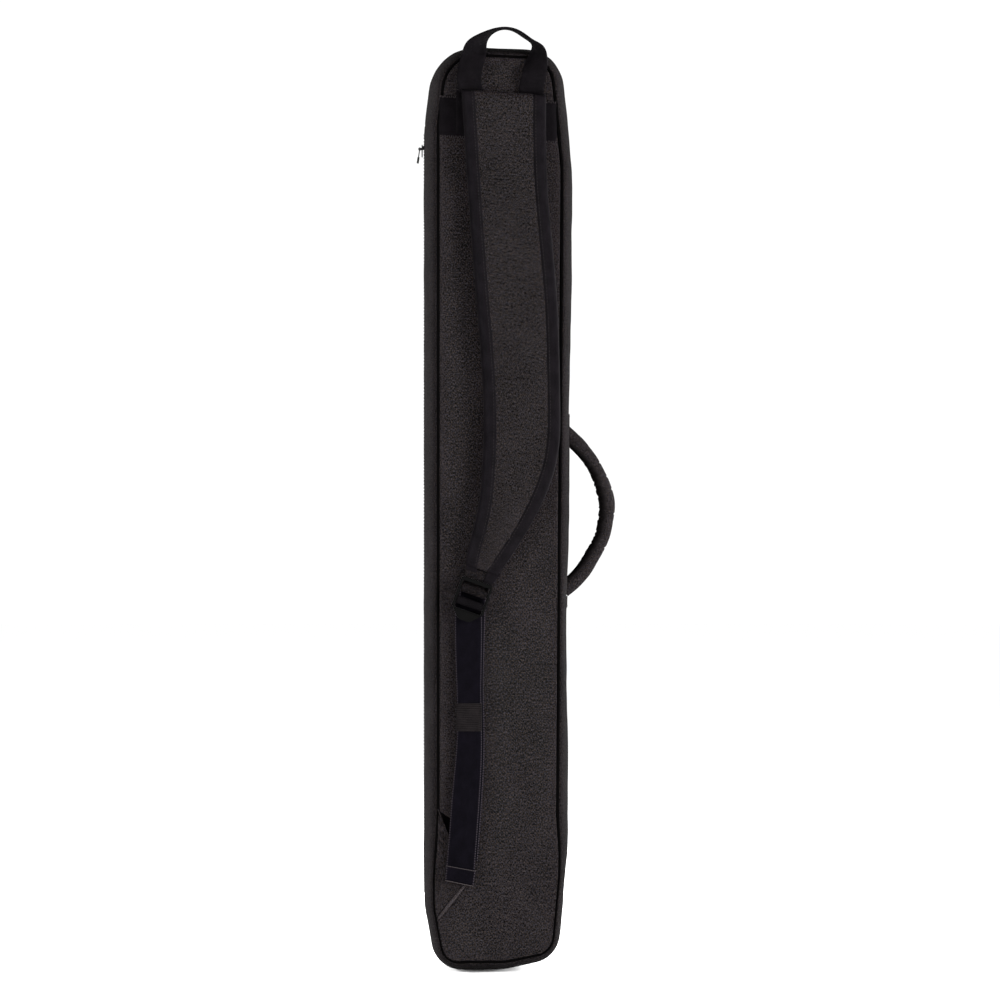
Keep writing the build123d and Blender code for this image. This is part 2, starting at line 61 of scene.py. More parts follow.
# The case's outline, seen from the back: corner points (x, z) with the radius of each corner.
CASE_OUTLINE = [
    ((-70, 62), 100),
    ((-58.5, 0), 28),
    ((4, 0), 90),
    ((58, 11.5), 30),
    ((67.5, 115), 200),
    ((72, 765), 130),
    ((60.5, 879), 38),
    ((-60, 884), 45),
    ((-70, 806), 80),
]
HALF_DEPTH = 55
WALL = 10
SEAM_SUNK = 1.9  # how deep the seam lies below the panel's face
ZIP_LOW = 72
ZIP_HIGH = 800
FOLD_X = 50.3
ZIP_EDGE = 7.6  # half the width of the zip between its two gussets
SEAM_LOW_LEFT = 71
SEAM_HIGH_LEFT = 809
SEAM_LOW_RIGHT = 358
SEAM_HIGH_RIGHT = 519.5
MIDDLE_Z = 436
BACK = -HALF_DEPTH

# The webbing sewn across the top of the back: its corners (x, z) from the top left, clockwise.
BAND_CORNERS = [(-57.3, 833.4), (55.2, 827.6), (55.2, 788.2), (-57.3, 794)]
WEBBING = 25
LOOP_TAILS_X = {"left": -28.9, "right": 30.8}
# The shoulder strap's left and right edges, from the top down: pairs of points (x, z).
STRAP_EDGES = [
    ((-36, 838.5), (44.5, 833.5)),
    ((-30.4, 753), (45.5, 753)),
    ((-21.9, 639), (55, 639)),
    ((-15.2, 544), (57.8, 544)),
    ((-15.6, 490), (55, 488)),
    ((-22, 433), (34, 433)),
    ((-31.5, 392), (6, 388)),
    ((-32.8, 377.5), (-7.9, 368.6)),
]
BINDING = 12.4  # how much of the strap's face its edge tape covers
STRAP_IN = -58.7  # the strap's side towards the case
LOCK_CENTRE = (-25.7, 358)
LOCK_Y = -63.7
LOCK_TURN = math.radians(19.6)
TAIL_Y = -59.9
ANCHOR_Y = -58.0
KEEPER_Z = (230, 256.6)
KEEPER_X = -28.5
KEEPER_HALF = 12.3
# The side handle's middle line, from its upper end: x, z and radius.
HANDLE_LINE = [
    (63, 516, 7.6),
    (67, 512.6, 7.4),
    (77.6, 502.6, 7.2),
    (90.4, 487, 6.6),
    (97.7, 473.7, 6.8),
    (102.8, 460.1, 7.4),
    (105.8, 446.7, 7.5),
    (105.2, 434.1, 7.3),
    (103.2, 421.6, 7.1),
    (99.6, 410.1, 7.1),
    (93, 397.9, 7.1),
    (85.3, 384.9, 7.3),
    (75.8, 373.2, 7.5),
    (63.6, 362.6, 7.4),
]


# ---------------------------------------------------------------- curves and meshes


def unit(rows):
    """Vectors scaled to length 1."""
    return rows / np.linalg.norm(rows, axis=1)[:, None]


def run_along(points):
    """How far along a line each of its points is."""
    return np.concatenate([[0], np.cumsum(np.linalg.norm(np.diff(points, axis=0), axis=1))])


def read_at(rows, run, at):
    """Rows known at the lengths in run, read at the lengths in at."""
    return np.stack([np.interp(at, run, column) for column in rows.T], 1)


def full_turn(count):
    """Evenly spaced angles round a circle."""
    return np.linspace(0, 2 * math.pi, count, endpoint=False)


def power(value, exponent):
    """A power that keeps the value's sign."""
    return np.sign(value) * np.abs(value) ** exponent


def joined(*parts):
    """Points from their coordinates, which are arrays or single values."""
    return np.stack(np.broadcast_arrays(*parts), -1)


def upright(flat, y):
    """Points (x, y, z) from points (x, z) and their y."""
    return joined(flat[..., 0], y, flat[..., 1])


def rounded(corners, spacing):
    """Evenly spaced points on a closed outline with round corners, and the outward normal at each."""
    points, normals = [], []
    spots = [np.array(p, float) for p, _ in corners]
    for i, (_, radius) in enumerate(corners):
        spot, before, after = spots[i], spots[i - 1], spots[(i + 1) % len(spots)]
        way_in = (spot - before) / np.linalg.norm(spot - before)
        way_out = (after - spot) / np.linalg.norm(after - spot)
        turn = math.atan2(way_in[0] * way_out[1] - way_in[1] * way_out[0], way_in @ way_out)
        start = spot - way_in * radius * math.tan(turn / 2)
        centre = start + radius * np.array([-way_in[1], way_in[0]])
        angle = math.atan2(start[1] - centre[1], start[0] - centre[0])
        for a in np.linspace(angle, angle + turn, 12):
            normals.append([math.cos(a), math.sin(a)])
            points.append(centre + radius * np.array(normals[-1]))
    points = np.array(points + points[:1])
    normals = np.array(normals + normals[:1])
    run = run_along(points)
    at = np.linspace(0, run[-1], round(run[-1] / spacing), endpoint=False)
    return read_at(points, run, at), unit(read_at(normals, run, at))


def smooth(points, count):
    """Evenly spaced points on a natural cubic spline through the given points."""
    points = np.array(points, float)
    chord = np.linalg.norm(np.diff(points, axis=0), axis=1)
    t = run_along(points)
    n = len(t)
    system, target = np.eye(n), np.zeros((n, points.shape[1]))
    for i in range(1, n - 1):
        system[i, i - 1 : i + 2] = chord[i - 1], 2 * (chord[i - 1] + chord[i]), chord[i]
        target[i] = 6 * ((points[i + 1] - points[i]) / chord[i] - (points[i] - points[i - 1]) / chord[i - 1])
    curve = np.linalg.solve(system, target)
    at = np.linspace(0, t[-1], 8 * count)
    i = np.clip(np.searchsorted(t, at) - 1, 0, n - 2)
    h, a, b = chord[i][:, None], (t[i + 1] - at)[:, None], (at - t[i])[:, None]
    fine = (curve[i] * a**3 + curve[i + 1] * b**3) / (6 * h)
    fine += (points[i] / h - curve[i] * h / 6) * a + (points[i + 1] / h - curve[i + 1] * h / 6) * b
    return spaced(fine, count)


def spaced(points, count):
    """The same line with its points evenly spaced."""
    run = run_along(points)
    return read_at(points, run, np.linspace(0, run[-1], count))


def surface_lengths(grid, closed):
    """The real lengths along a grid of points, from the middle of each row and the start of each column."""
    rows = np.concatenate([grid, grid[:1]], 0) if closed[0] else grid
    both = np.concatenate([rows, rows[:, :1]], 1) if closed[1] else rows
    along = np.linalg.norm(np.diff(both, axis=0), axis=2).mean(1)
    across = np.linalg.norm(np.diff(both, axis=1), axis=2).mean(0)
    v = np.concatenate([[0], np.cumsum(along)])
    u = np.concatenate([[0], np.cumsum(across)])
    return joined(u[None, :] - u[-1] / 2, v[:, None])


def lay(name, grid, closed=(False, False), uv=None, flip=False):
    """A mesh over a grid of points (rows, columns, 3), with its real lengths as UVs."""
    grid = np.asarray(grid, float)
    shape = grid.shape[:2]
    index = np.arange(shape[0] * shape[1]).reshape(shape)
    uv = surface_lengths(grid, closed) if uv is None else uv
    starts = [np.arange(size if ring else size - 1) for size, ring in zip(shape, closed)]
    a, b = np.meshgrid(*starts, indexing="ij")
    corners = [(a, b), (a + 1, b), (a + 1, b + 1), (a, b + 1)]
    faces = np.stack([index[i % shape[0], j % shape[1]] for i, j in corners], -1).reshape(-1, 4)
    face_uv = np.stack([uv[i, j] for i, j in corners], -2).reshape(-1, 4, 2)
    if flip:
        faces, face_uv = faces[:, ::-1], face_uv[:, ::-1]
    return build(name, grid.reshape(-1, 3), faces, face_uv)


def build(name, points, faces, face_uv=None):
    """A smooth mesh from points in millimetres. Without UVs it takes (x, z) as its cloth's lengths."""
    faces = [list(map(int, f)) for f in faces]
    points = np.asarray(points, float)
    mesh = bpy.data.meshes.new(name)
    mesh.from_pydata((points * MM).tolist(), [], faces)
    layer = mesh.uv_layers.new(name="cloth")
    if face_uv is None:
        face_uv = points[np.concatenate([np.array(f) for f in faces])][:, [0, 2]]
    layer.data.foreach_set("uv", (np.asarray(face_uv) * MM).astype(np.float32).ravel())
    mesh.shade_smooth()
    return place(name, mesh)


def place(name, data):
    """A new object in the scene."""
    obj = bpy.data.objects.new(name, data)
    bpy.context.scene.collection.objects.link(obj)
    return obj


def edit(obj, change):
    """Runs change on the object's bmesh and writes it back."""
    bm = bmesh.new()
    bm.from_mesh(obj.data)
    change(bm)
    bm.to_mesh(obj.data)
    bm.free()
    return obj


def face_out(bm):
    bmesh.ops.recalc_face_normals(bm, faces=bm.faces)


def face_over(bm):
    bmesh.ops.reverse_faces(bm, faces=bm.faces)


def face_back(bm):
    """Turns a sheet's faces towards -Y, away from the case."""
    if sum(face.normal.y for face in bm.faces) > 0:
        face_over(bm)


def close_ends(bm):
    """Closes the open ends of a tube or pad."""
    bmesh.ops.holes_fill(bm, edges=[e for e in bm.edges if e.is_boundary], sides=0)
    face_out(bm)


def thicken(obj, thickness, offset=-1):
    """Gives a sheet its thickness, on the side away from its normals, or evenly if offset is 0."""
    modifier = obj.modifiers.new("thickness", "SOLIDIFY")
    modifier.thickness = thickness * MM
    modifier.offset = offset
    return obj


def soften(obj, width, segments=2):
    modifier = obj.modifiers.new("soft_edges", "BEVEL")
    modifier.width = width * MM
    modifier.segments = segments
    modifier.limit_method = "ANGLE"
    modifier.angle_limit = math.radians(35)
    return obj


def wobble(u, v, size):
    """A smooth uneven field from -1 to 1, with waves about size across."""
    k = 2 * math.pi / size
    field = np.sin(0.83 * k * u + 0.41 * k * v + 0.7) * np.cos(0.37 * k * u - 0.77 * k * v + 2.1)
    field += 0.6 * np.sin(1.31 * k * u - 0.53 * k * v + 4.2) * np.cos(0.21 * k * u + 1.17 * k * v + 1.3)
    return field / 1.6


def creases(u, v, seed, count, spread, width, depth):
    """Small dents that lie across a strip: u runs across it from -1 to 1 and v along it in millimetres."""
    rng = np.random.RandomState(seed)
    total = np.zeros(np.broadcast(u, v).shape)
    for _ in range(count):
        middle_u, middle_v = rng.uniform(-0.7, 0.7), rng.uniform(*spread)
        reach, tilt = rng.uniform(0.25, 0.9), rng.uniform(-3, 3)
        w, d = rng.uniform(*width), rng.uniform(*depth)
        off = v - middle_v - tilt * (u - middle_u)
        total += d * np.exp(-((off / w) ** 2)) * np.exp(-(((u - middle_u) / reach) ** 4))
    return total


OUTLINE, OUTWARD = rounded(CASE_OUTLINE, 0.5)
COUNT = len(OUTLINE)
# The seams lie a little nearer the edge at both ends, and low down on both sides.
LOW_DOWN = np.clip((150 - OUTLINE[:, 1]) / 60, 0, 1)
SEAM_SHARE = 1 - 0.13 * OUTWARD[:, 1] ** 2 - 0.34 * LOW_DOWN * np.abs(OUTWARD[:, 0])


def side_index(x_sign, z):
    """The number of the outline's point nearest to a height on the left (-1) or right (+1) side."""
    off = np.abs(OUTLINE[:, 1] - z) + 1e6 * (np.sign(OUTLINE[:, 0]) != x_sign)
    return int(np.argmin(off))


def stations(start, end):
    """Numbers of the outline's points from one to the other: close together at both ends, then 4 mm apart."""
    total = (end - start) % COUNT
    near = [i for i in (0, 1, 2, 4, 7, 11) if i < total / 2]
    steps = near + list(range(16, total - 15, 8)) + [total - i for i in near[::-1]]
    return [(start + i) % COUNT for i in steps]


def sweep_profile(which, profile, swell=0.0):
    """Carries a profile of (inset, y) points round the outline. swell adds to the inset at each point."""
    profile = np.array(profile, float)
    inset = profile[:, 0] * SEAM_SHARE[which][:, None] + swell
    flat = OUTLINE[which][:, None, :] - OUTWARD[which][:, None, :] * inset[..., None]
    return upright(flat, profile[:, 1])


# ---------------------------------------------------------------- materials


def feed(tree, socket, value):
    """Links an input to another node's output, or sets it to a value."""
    if hasattr(value, "is_output"):
        tree.links.new(value, socket)
    else:
        socket.default_value = value


def add_node(tree, kind, **settings):
    """A shader node. Settings named like a socket, with _ for a space, go to that input."""
    made = tree.nodes.new(kind)
    for key, value in settings.items():
        socket = made.inputs.get(key.replace("_", " "))
        if socket is None:
            setattr(made, key, value)
        else:
            feed(tree, socket, value)
    return made


def calc(tree, operation, a, b=0.0):
    made = add_node(tree, "ShaderNodeMath", operation=operation)
    feed(tree, made.inputs[0], a)
    feed(tree, made.inputs[1], b)
    return made.outputs[0]


def scaled(tree, value, scale, plus):
    """value * scale + plus."""
    return calc(tree, "ADD", calc(tree, "MULTIPLY", value, scale), plus)


def mix(tree, share, a, b):
    """Mixes two colours by a share."""
    made = add_node(tree, "ShaderNodeMix", data_type="RGBA")
    for number, value in ((0, share), (6, a), (7, b)):
        feed(tree, made.inputs[number], value)
    return made.outputs[2]


def tinted(colour, tint):
    """A colour with its red, green and blue scaled by those of the tint."""
    return (*[c * t for c, t in zip(colour, tint)], 1)


def grey(value, tint):
    return tinted([value] * 3, tint)


def start_material(name, roughness, specular, metallic=0.0):
    """A material, its tree, and the cloth's lengths across and along in millimetres."""
    material = bpy.data.materials.new(name)
    material.use_nodes = True
    tree = material.node_tree
    inputs = tree.nodes["Principled BSDF"].inputs
    for key, value in (("Roughness", roughness), ("Specular IOR Level", specular), ("Metallic", metallic)):
        inputs[key].default_value = value
    uv = add_node(tree, "ShaderNodeUVMap", uv_map="cloth").outputs[0]
    lengths = add_node(tree, "ShaderNodeVectorMath", operation="SCALE", Vector=uv, Scale=1 / MM)
    split = add_node(tree, "ShaderNodeSeparateXYZ", Vector=lengths.outputs[0])
    return material, tree, split.outputs[0], split.outputs[1]


def finish_material(material, share, dark, light, height, strength, distance, marks=None):
    """Colours the material from dark to light by share, with any marks on top, and bumps it by height."""
    tree = material.node_tree
    inputs = tree.nodes["Principled BSDF"].inputs
    colour = mix(tree, calc(tree, "MAXIMUM", calc(tree, "MINIMUM", share, 1.0), 0.0), dark, light)
    if marks:
        colour = mix(tree, marks[0], colour, marks[1])
    bump = add_node(tree, "ShaderNodeBump", Strength=strength, Distance=distance * MM, Height=height)
    tree.links.new(colour, inputs["Base Color"])
    tree.links.new(bump.outputs[0], inputs["Normal"])
    return material


def wave(tree, value, pitch, phase=0.0):
    """A sine of the value with the given pitch, from 0 to 1."""
    return scaled(tree, calc(tree, "SINE", scaled(tree, value, 2 * math.pi / pitch, phase)), 0.5, 0.5)


def noise(tree, spot, scale, roughness=0.5):
    made = add_node(tree, "ShaderNodeTexNoise", Vector=spot, Scale=scale, Detail=2.0, Roughness=roughness)
    return made.outputs[0]


def grain(tree, u, v, across, along):
    """Noise whose spots are about that wide across and long along the cloth."""
    x, y = calc(tree, "DIVIDE", u, across), calc(tree, "DIVIDE", v, along)
    return noise(tree, add_node(tree, "ShaderNodeCombineXYZ", X=x, Y=y).outputs[0], 1.0, 0.6)


def grains(tree, u, v, sizes):
    """Several grains with their weights, from sizes across and along and the weight of each."""
    return [(grain(tree, u, v, across, along), weight) for across, along, weight in sizes]


def weighted(tree, terms):
    """The sum of each (value - 0.5) times its weight, plus 0.5."""
    total = 0.5
    for value, weight in terms:
        part = calc(tree, "MULTIPLY", calc(tree, "SUBTRACT", value, 0.5), weight)
        total = calc(tree, "ADD", total, part)
    return total


NEUTRAL = (1, 1, 1)
BROWNISH = (1.11, 0.94, 0.98)
COOL = (1.07, 0.9, 1.1)
DEEP = (1.0, 0.84, 1.45)
WARM_YARN = (1.07, 1.0, 0.88)
COOL_YARN = (0.93, 1.0, 1.14)
TWILL = 1.4
# The cloth's flecks, cross flecks, slubs and clouds: size across and along, and weight.
FLECKS = [(0.8, 2.0, 5.4), (2.0, 0.75, 4.4), (13.0, 1.2, 1.4), (38.0, 60.0, 0.75)]
TAPE_FLECKS = [(1.0, 1.0, 0.9), (9.0, 14.0, 0.6)]
# Painted highlight: pale dots where the webbing's edge loops catch the light.
SELVEDGE_HIGHLIGHT = grey(0.014, COOL)
SELVEDGE_PITCH = 2.3


def melange(name, dark, light):
    """Charcoal twill spun from dark and pale yarns."""
    material, tree, u, v = start_material(name, 0.95, 0.01)
    diagonal = wave(tree, calc(tree, "ADD", u, v), TWILL)
    threads = wave(tree, calc(tree, "SUBTRACT", u, v), TWILL * 0.62, 0.8)
    weave = calc(tree, "MULTIPLY", diagonal, scaled(tree, threads, 0.5, 0.5))
    share = weighted(tree, [(weave, 2.0)] + grains(tree, u, v, FLECKS))
    warm, cool = [tinted(grey(light, BROWNISH), tint) for tint in (WARM_YARN, COOL_YARN)]
    pale = mix(tree, calc(tree, "GREATER_THAN", grain(tree, u, v, 1.3, 1.6), 0.5), warm, cool)
    return finish_material(material, share, grey(dark, BROWNISH), pale, weave, 0.55, 0.25)


def ribbed(name, dark, light, pitch, slope=0.0, tint=BROWNISH, highlight_edge=0.0):
    """A narrow woven tape: ribs, a fine thread, and if an edge is given, painted highlights dotted on the
    loops along both edges.
    """
    material, tree, u, v = start_material(name, 0.8, 0.01)
    rib = wave(tree, scaled(tree, u, slope, v), pitch)
    weave = calc(tree, "MULTIPLY", rib, scaled(tree, wave(tree, u, 0.8), 0.4, 0.6))
    share = weighted(tree, [(weave, 0.5)] + grains(tree, u, v, TAPE_FLECKS))
    marks = None
    if highlight_edge:
        edge = calc(tree, "GREATER_THAN", calc(tree, "ABSOLUTE", u), highlight_edge)
        # painted highlight, one dot on each edge loop
        loops = calc(tree, "GREATER_THAN", wave(tree, v, SELVEDGE_PITCH), 0.55)
        marks = (calc(tree, "MULTIPLY", edge, loops), SELVEDGE_HIGHLIGHT)
    return finish_material(material, share, grey(dark, tint), grey(light, tint), weave, 0.5, 0.2, marks)


def moulded(name, value, tint, roughness):
    """Black moulded plastic or painted metal with a fine grain."""
    material, tree, _, _ = start_material(name, roughness, 0.05)
    spot = add_node(tree, "ShaderNodeTexCoord").outputs["Object"]
    fine = noise(tree, spot, 1400.0)
    share = weighted(tree, [(fine, 0.5), (noise(tree, spot, 120.0), 0.8)])
    return finish_material(material, share, grey(value, tint), grey(1.7 * value, tint), fine, 0.25, 0.08)


def brushed(name, value, roughness):
    material, tree, _, _ = start_material(name, roughness, 0.5, 1.0)
    spot = add_node(tree, "ShaderNodeTexCoord").outputs["Object"]
    stretched = add_node(tree, "ShaderNodeMapping", Vector=spot, Scale=(2500.0, 2500.0, 250.0))
    fine = noise(tree, stretched.outputs[0], 1.0)
    return finish_material(material, fine, grey(value, NEUTRAL), grey(1.6 * value, NEUTRAL), fine, 0.15, 0.05)


CLOTH = melange("case_cloth", 0.0, 0.0148)
# The gussets' copy of the case cloth, darker than the panels' cloth: painted shade that holds the gussets
# down under the side lights.
GUSSET_SHADED_CLOTH = melange("gusset_cloth", 0.0, 0.0094)
# The handle's copy of the case cloth, paler than the rest: painted light on the handle's outer side.
HANDLE_LIT_CLOTH = melange("handle_painted_light_cloth", 0.0008, 0.0150)
STRAP_CLOTH = melange("strap_cloth", 0.0, 0.0138)
LOOP_CLOTH = melange("buckle_loop_cloth", 0.0, 0.0066)
COLLAR_CLOTH = melange("collar_cloth", 0.0, 0.0093)
TAB_CLOTH = melange("tab_cloth", 0.0, 0.0144)
# The tab cloth made paler for its lower fold: a painted highlight where the fold catches the light.
TAB_FOLD_HIGHLIGHT_CLOTH = melange("tab_fold_painted_highlight", 0.0075, 0.0225)
TAPE = ribbed("webbing_black", 0.0, 0.0023, 1.1, 0.5, DEEP, highlight_edge=11.4)
TURN_TAPE = ribbed("webbing_turn_black", 0.0001, 0.0026, 1.1, 0.5, COOL)
LOOP_TAPE = ribbed("loop_webbing", 0.0, 0.0034, 1.1, 0.5, COOL)
BIND = ribbed("binding_tape", 0.0001, 0.0046, 0.9, 0.3, COOL)
GRIP_TAPE = ribbed("grip_tape", 0.0003, 0.0072, 1.3, 0.4)
BAND_TAPE = ribbed("band_tape", 0.0001, 0.0032, 1.0, 0.0, COOL)
ELASTIC = ribbed("elastic_grey", 0.0003, 0.0070, 1.85)
PIPE = ribbed("seam_piping", 0.0, 0.0005, 0.8, 0.6)
LINING = ribbed("lining_nylon", 0.005, 0.013, 0.6)
MESH_CLOTH = ribbed("strap_mesh", 0.001, 0.006, 1.6, 1.0)
ZIP_TAPE = ribbed("zip_tape", 0.0005, 0.0034, 0.8, 0.5)
THREAD = ribbed("thread", 0.012, 0.03, 0.5, 1.0)
DARK_THREAD = ribbed("dark_thread", 0.004, 0.012, 0.5, 1.0)
TEETH = moulded("zip_teeth", 0.0025, BROWNISH, 0.4)
PLASTIC = moulded("moulded_black", 0.0002, NEUTRAL, 0.34)
METAL = brushed("zip_metal", 0.016, 0.38)


def dress(obj, material, slot, body=None, *nodes):
    """Gives a piece its material, a body to ride on, and hides the CAD nodes it stands for. slot is not used.
    """
    obj.data.materials.clear()
    obj.data.materials.append(material)
    if body:
        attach(obj, body)
    if nodes:
        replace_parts(obj, *nodes)
    return obj


def cut_sheet(obj, held, *rests_on, filled=1.0):
    """Reads a sheet of cloth's UVs, which hold its flat size, and hands the sheet back. filled is not used.
    """
    spots = np.empty(2 * len(obj.data.loops))
    obj.data.uv_layers["cloth"].data.foreach_get("uv", spots)
    return obj

# ---------------------------------------------------------------- the case's outside


def gusset_profile(y_from, y_to, count=30):
    """(inset, y) points over a gusset: it curves in to the seams and is folded under at the zip."""
    turns = [2 / math.pi * math.asin(y / HALF_DEPTH) for y in (y_from, y_to)]
    profile = []
    for turn in np.linspace(*turns, count):
        y = HALF_DEPTH * math.sin(turn * math.pi / 2)
        profile.append((GUSSET_IN * (1 - math.sqrt(max(0, 1 - abs(y / HALF_DEPTH) ** GUSSET_ROUND))), y))
    ends = []
    for y, sign in ((y_from, 1), (y_to, -1)):
        if abs(y) == HALF_DEPTH:
            ends.append([(GUSSET_IN + 0.25, y + sign * 0.5), (GUSSET_IN + 0.4, y + sign * SEAM_SUNK)])
        else:
            ends.append([(0.4, y - sign * 0.3), (1.2, y - sign * 0.1), (1.5, y + sign * 0.8)])
    return ends[0][::-1] + profile + ends[1]


def waist(which):
    """How far the right side is drawn in near the handle."""
    x, z = OUTLINE[which].T
    drawn = sum(depth * np.exp(-(((z - middle) / reach) ** 2)) for middle, reach, depth in WAIST)
    return (drawn * (x > 55))[:, None]


def gusset(name, start, end, y_from=-HALF_DEPTH, y_to=HALF_DEPTH):
    """One piece of the case's side wall between two cross seams, where it is pinched."""
    which = stations(start, end)
    profile = gusset_profile(y_from, y_to)
    run = run_along(OUTLINE[which])[:, None]
    from_seam = np.minimum(run, run[-1] - run)
    y = np.array([p[1] for p in profile])[None, :]
    middle = 1 - np.abs(y / HALF_DEPTH) ** 6
    pinch = 0.35 * np.exp(-from_seam / 1.0) + 0.35 * np.exp(-from_seam / 9)
    soft = 0.45 * wobble(run, y, 95) + 0.2 * wobble(run + 40, y, 38)
    swell = middle * (pinch - soft * (1 - np.exp(-from_seam / 12)) + waist(which))
    obj = lay(name, sweep_profile(which, profile, swell), flip=True)
    # the darker gusset copy of the case cloth is painted shade
    return dress(thicken(obj, 1.0), GUSSET_SHADED_CLOTH, "case_fabric")


def seam_cord(name, side):
    """The cord piped round a panel, sunk between the panel and the gusset."""
    turns = full_turn(10)
    inset = PIPE_IN + PIPE_R * np.cos(turns)
    y = side * (HALF_DEPTH - PIPE_SUNK) + PIPE_R * np.sin(turns)
    grid = sweep_profile(ALL_ROUND, joined(inset, y))
    return dress(lay(name, grid, closed=(True, True), flip=True), PIPE, "piping")


def panel(name, side, first_inset, depth, rolls, material, slot, thickness):
    """A flat panel inside the outline, on the back (-1) or the front (+1), with its edge rolled in."""
    rings = []
    for inset, sunk in rolls:
        shift = OUTWARD[ALL_ROUND] * (first_inset + inset) * SEAM_SHARE[ALL_ROUND][:, None]
        rings.append(upright(OUTLINE[ALL_ROUND] - shift, side * (depth - sunk)))
    last = rings[-1]
    spine = last.copy()
    spine[:, 0] = 0
    spine[:, 2] = np.clip(last[:, 2], *SPINE_Z)
    rings += [last + (spine - last) * share for share in (0.12, 0.26, 0.42, 0.6, 0.78, 0.92)]
    grid = np.stack(rings, 1)
    run_x, run_z = grid[..., 0], grid[..., 2]
    inner = np.clip((np.arange(grid.shape[1]) - len(rolls) + 1.5) / 2, 0, 1)[None, :]
    soft = 0.3 + 0.3 * wobble(run_x, run_z, 130) + 0.14 * wobble(run_x + 9, run_z, 47)
    grid[..., 1] -= side * inner * soft
    uv = np.concatenate([grid, grid[:1]], 0)[..., [0, 2]]
    obj = lay(name, grid, closed=(True, False), uv=uv, flip=side > 0)
    return dress(thicken(edit(obj, close_spine), thickness), material, slot)


def close_spine(bm):
    """Fills the narrow gap that a panel's rings leave along its middle."""
    rim = [e for e in bm.edges if e.is_boundary and abs(e.verts[0].co.x) < 12 * MM]
    rim = [e for e in rim if 60 * MM < e.verts[0].co.z < 825 * MM]
    made = bmesh.ops.holes_fill(bm, edges=rim, sides=0)["faces"]
    layer = bm.loops.layers.uv["cloth"]
    for face in made:
        face.smooth = True
        for loop in face.loops:
            loop[layer].uv = (loop.vert.co.x, loop.vert.co.z)


def keep_part(obj, name, low_x=None, high_x=None, low_z=None, high_z=None):
    """A copy of a piece cut down to what lies between the limits that are given."""
    part = obj.copy()
    part.data = obj.data.copy()
    part.name = name
    bpy.context.scene.collection.objects.link(part)

    def change(bm):
        cuts = [(low_x, (-1, 0, 0)), (high_x, (1, 0, 0)), (low_z, (0, 0, -1)), (high_z, (0, 0, 1))]
        for limit, away in cuts:
            if limit is None:
                continue
            spot = [limit * MM * abs(a) for a in away]
            geometry = bm.verts[:] + bm.edges[:] + bm.faces[:]
            bmesh.ops.bisect_plane(
                bm, geom=geometry, dist=1e-7, plane_co=spot, plane_no=away, clear_outer=True
            )

    return edit(part, change)


def bend_open(obj):
    """Bakes the placement of a piece of the flap into its mesh."""
    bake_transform(obj)
    return obj


def halve_flap(obj, name, *nodes, high_x=None):
    """Cuts a piece of the flap at mid height, and bakes each half's placement into its mesh."""
    upper = bend_open(keep_part(obj, f"{name}_upper", high_x=high_x, low_z=MIDDLE_Z))
    lower = bend_open(keep_part(obj, f"{name}_lower", high_x=high_x, high_z=MIDDLE_Z))
    bpy.data.objects.remove(obj)
    for part in (upper, lower):
        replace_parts(part, *nodes)
    return upper, lower


def split_front(obj, name, *nodes):
    """Cuts a piece of the front: what is right of the fold stays on the case, and what is left of it is
    halved at mid height.
    """
    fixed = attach(keep_part(obj, f"{name}_fixed", low_x=FOLD_X), "case")
    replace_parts(fixed, *nodes)
    return fixed, *halve_flap(obj, name, *nodes, high_x=FOLD_X)


WAIST = [(325, 85, 2.6), (535, 70, 1.4)]  # middle height, reach up and down, and depth
GUSSET_IN = 10.6
GUSSET_ROUND = 2.2
PIPE_IN = 12.0
PIPE_R = 1.4
PIPE_SUNK = 1.5
PANEL_ROLLS = [(0, 1.9), (0.25, 1.0), (0.8, 0.42), (1.7, 0.1), (3.2, 0), (6, 0), (11, 0)]
PANEL = (13.3, HALF_DEPTH, PANEL_ROLLS, CLOTH, "case_fabric", 1.0)
SPINE_Z = (70, 815)  # the ends of the line down a panel's middle that its rings close in on
ALL_ROUND = list(range(0, COUNT, 6))
LEFT_LOW = side_index(-1, SEAM_LOW_LEFT)
LEFT_HIGH = side_index(-1, SEAM_HIGH_LEFT)
RIGHT_LOW = side_index(1, SEAM_LOW_RIGHT)
RIGHT_HIGH = side_index(1, SEAM_HIGH_RIGHT)


def case_outside():
    pieces = []
    for name, start, end, y_to, nodes in (
        ("lower_gusset_cloth", LEFT_LOW, RIGHT_LOW, HALF_DEPTH, ("lower_gusset", "bottom_foam")),
        ("handle_gusset_cloth", RIGHT_LOW, RIGHT_HIGH, HALF_DEPTH, ("handle_gusset", "right_foam")),
        ("upper_gusset_cloth", RIGHT_HIGH, LEFT_HIGH, HALF_DEPTH, ("upper_gusset", "top_foam")),
        ("rear_zip_gusset_cloth", LEFT_HIGH, LEFT_LOW, -ZIP_EDGE, ("rear_zip_gusset", "rear_zip_foam")),
    ):
        pieces.append(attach(gusset(name, start, end, y_to=y_to), "case"))
        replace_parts(pieces[-1], *nodes)
    front = gusset("front_zip_gusset_cloth", LEFT_HIGH, LEFT_LOW, y_from=ZIP_EDGE)
    pieces += halve_flap(front, "front_zip_gusset_cloth", "front_zip_gusset", "front_zip_foam")
    pieces.append(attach(panel("back_panel_cloth", -1, *PANEL), "case"))
    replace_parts(pieces[-1], "back_panel", "back_foam")
    face = panel("front_panel_cloth", 1, *PANEL)
    nodes = ("front_panel", "front_foam", "front_border", "front_border_foam")
    pieces += split_front(face, "front_panel_cloth", *nodes)
    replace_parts(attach(seam_cord("back_seam_cord", -1), "case"), "back_piping")
    split_front(seam_cord("front_seam_cord", 1), "front_seam_cord", "front_piping", "front_flap_piping")


# ---------------------------------------------------------------- the case's inside


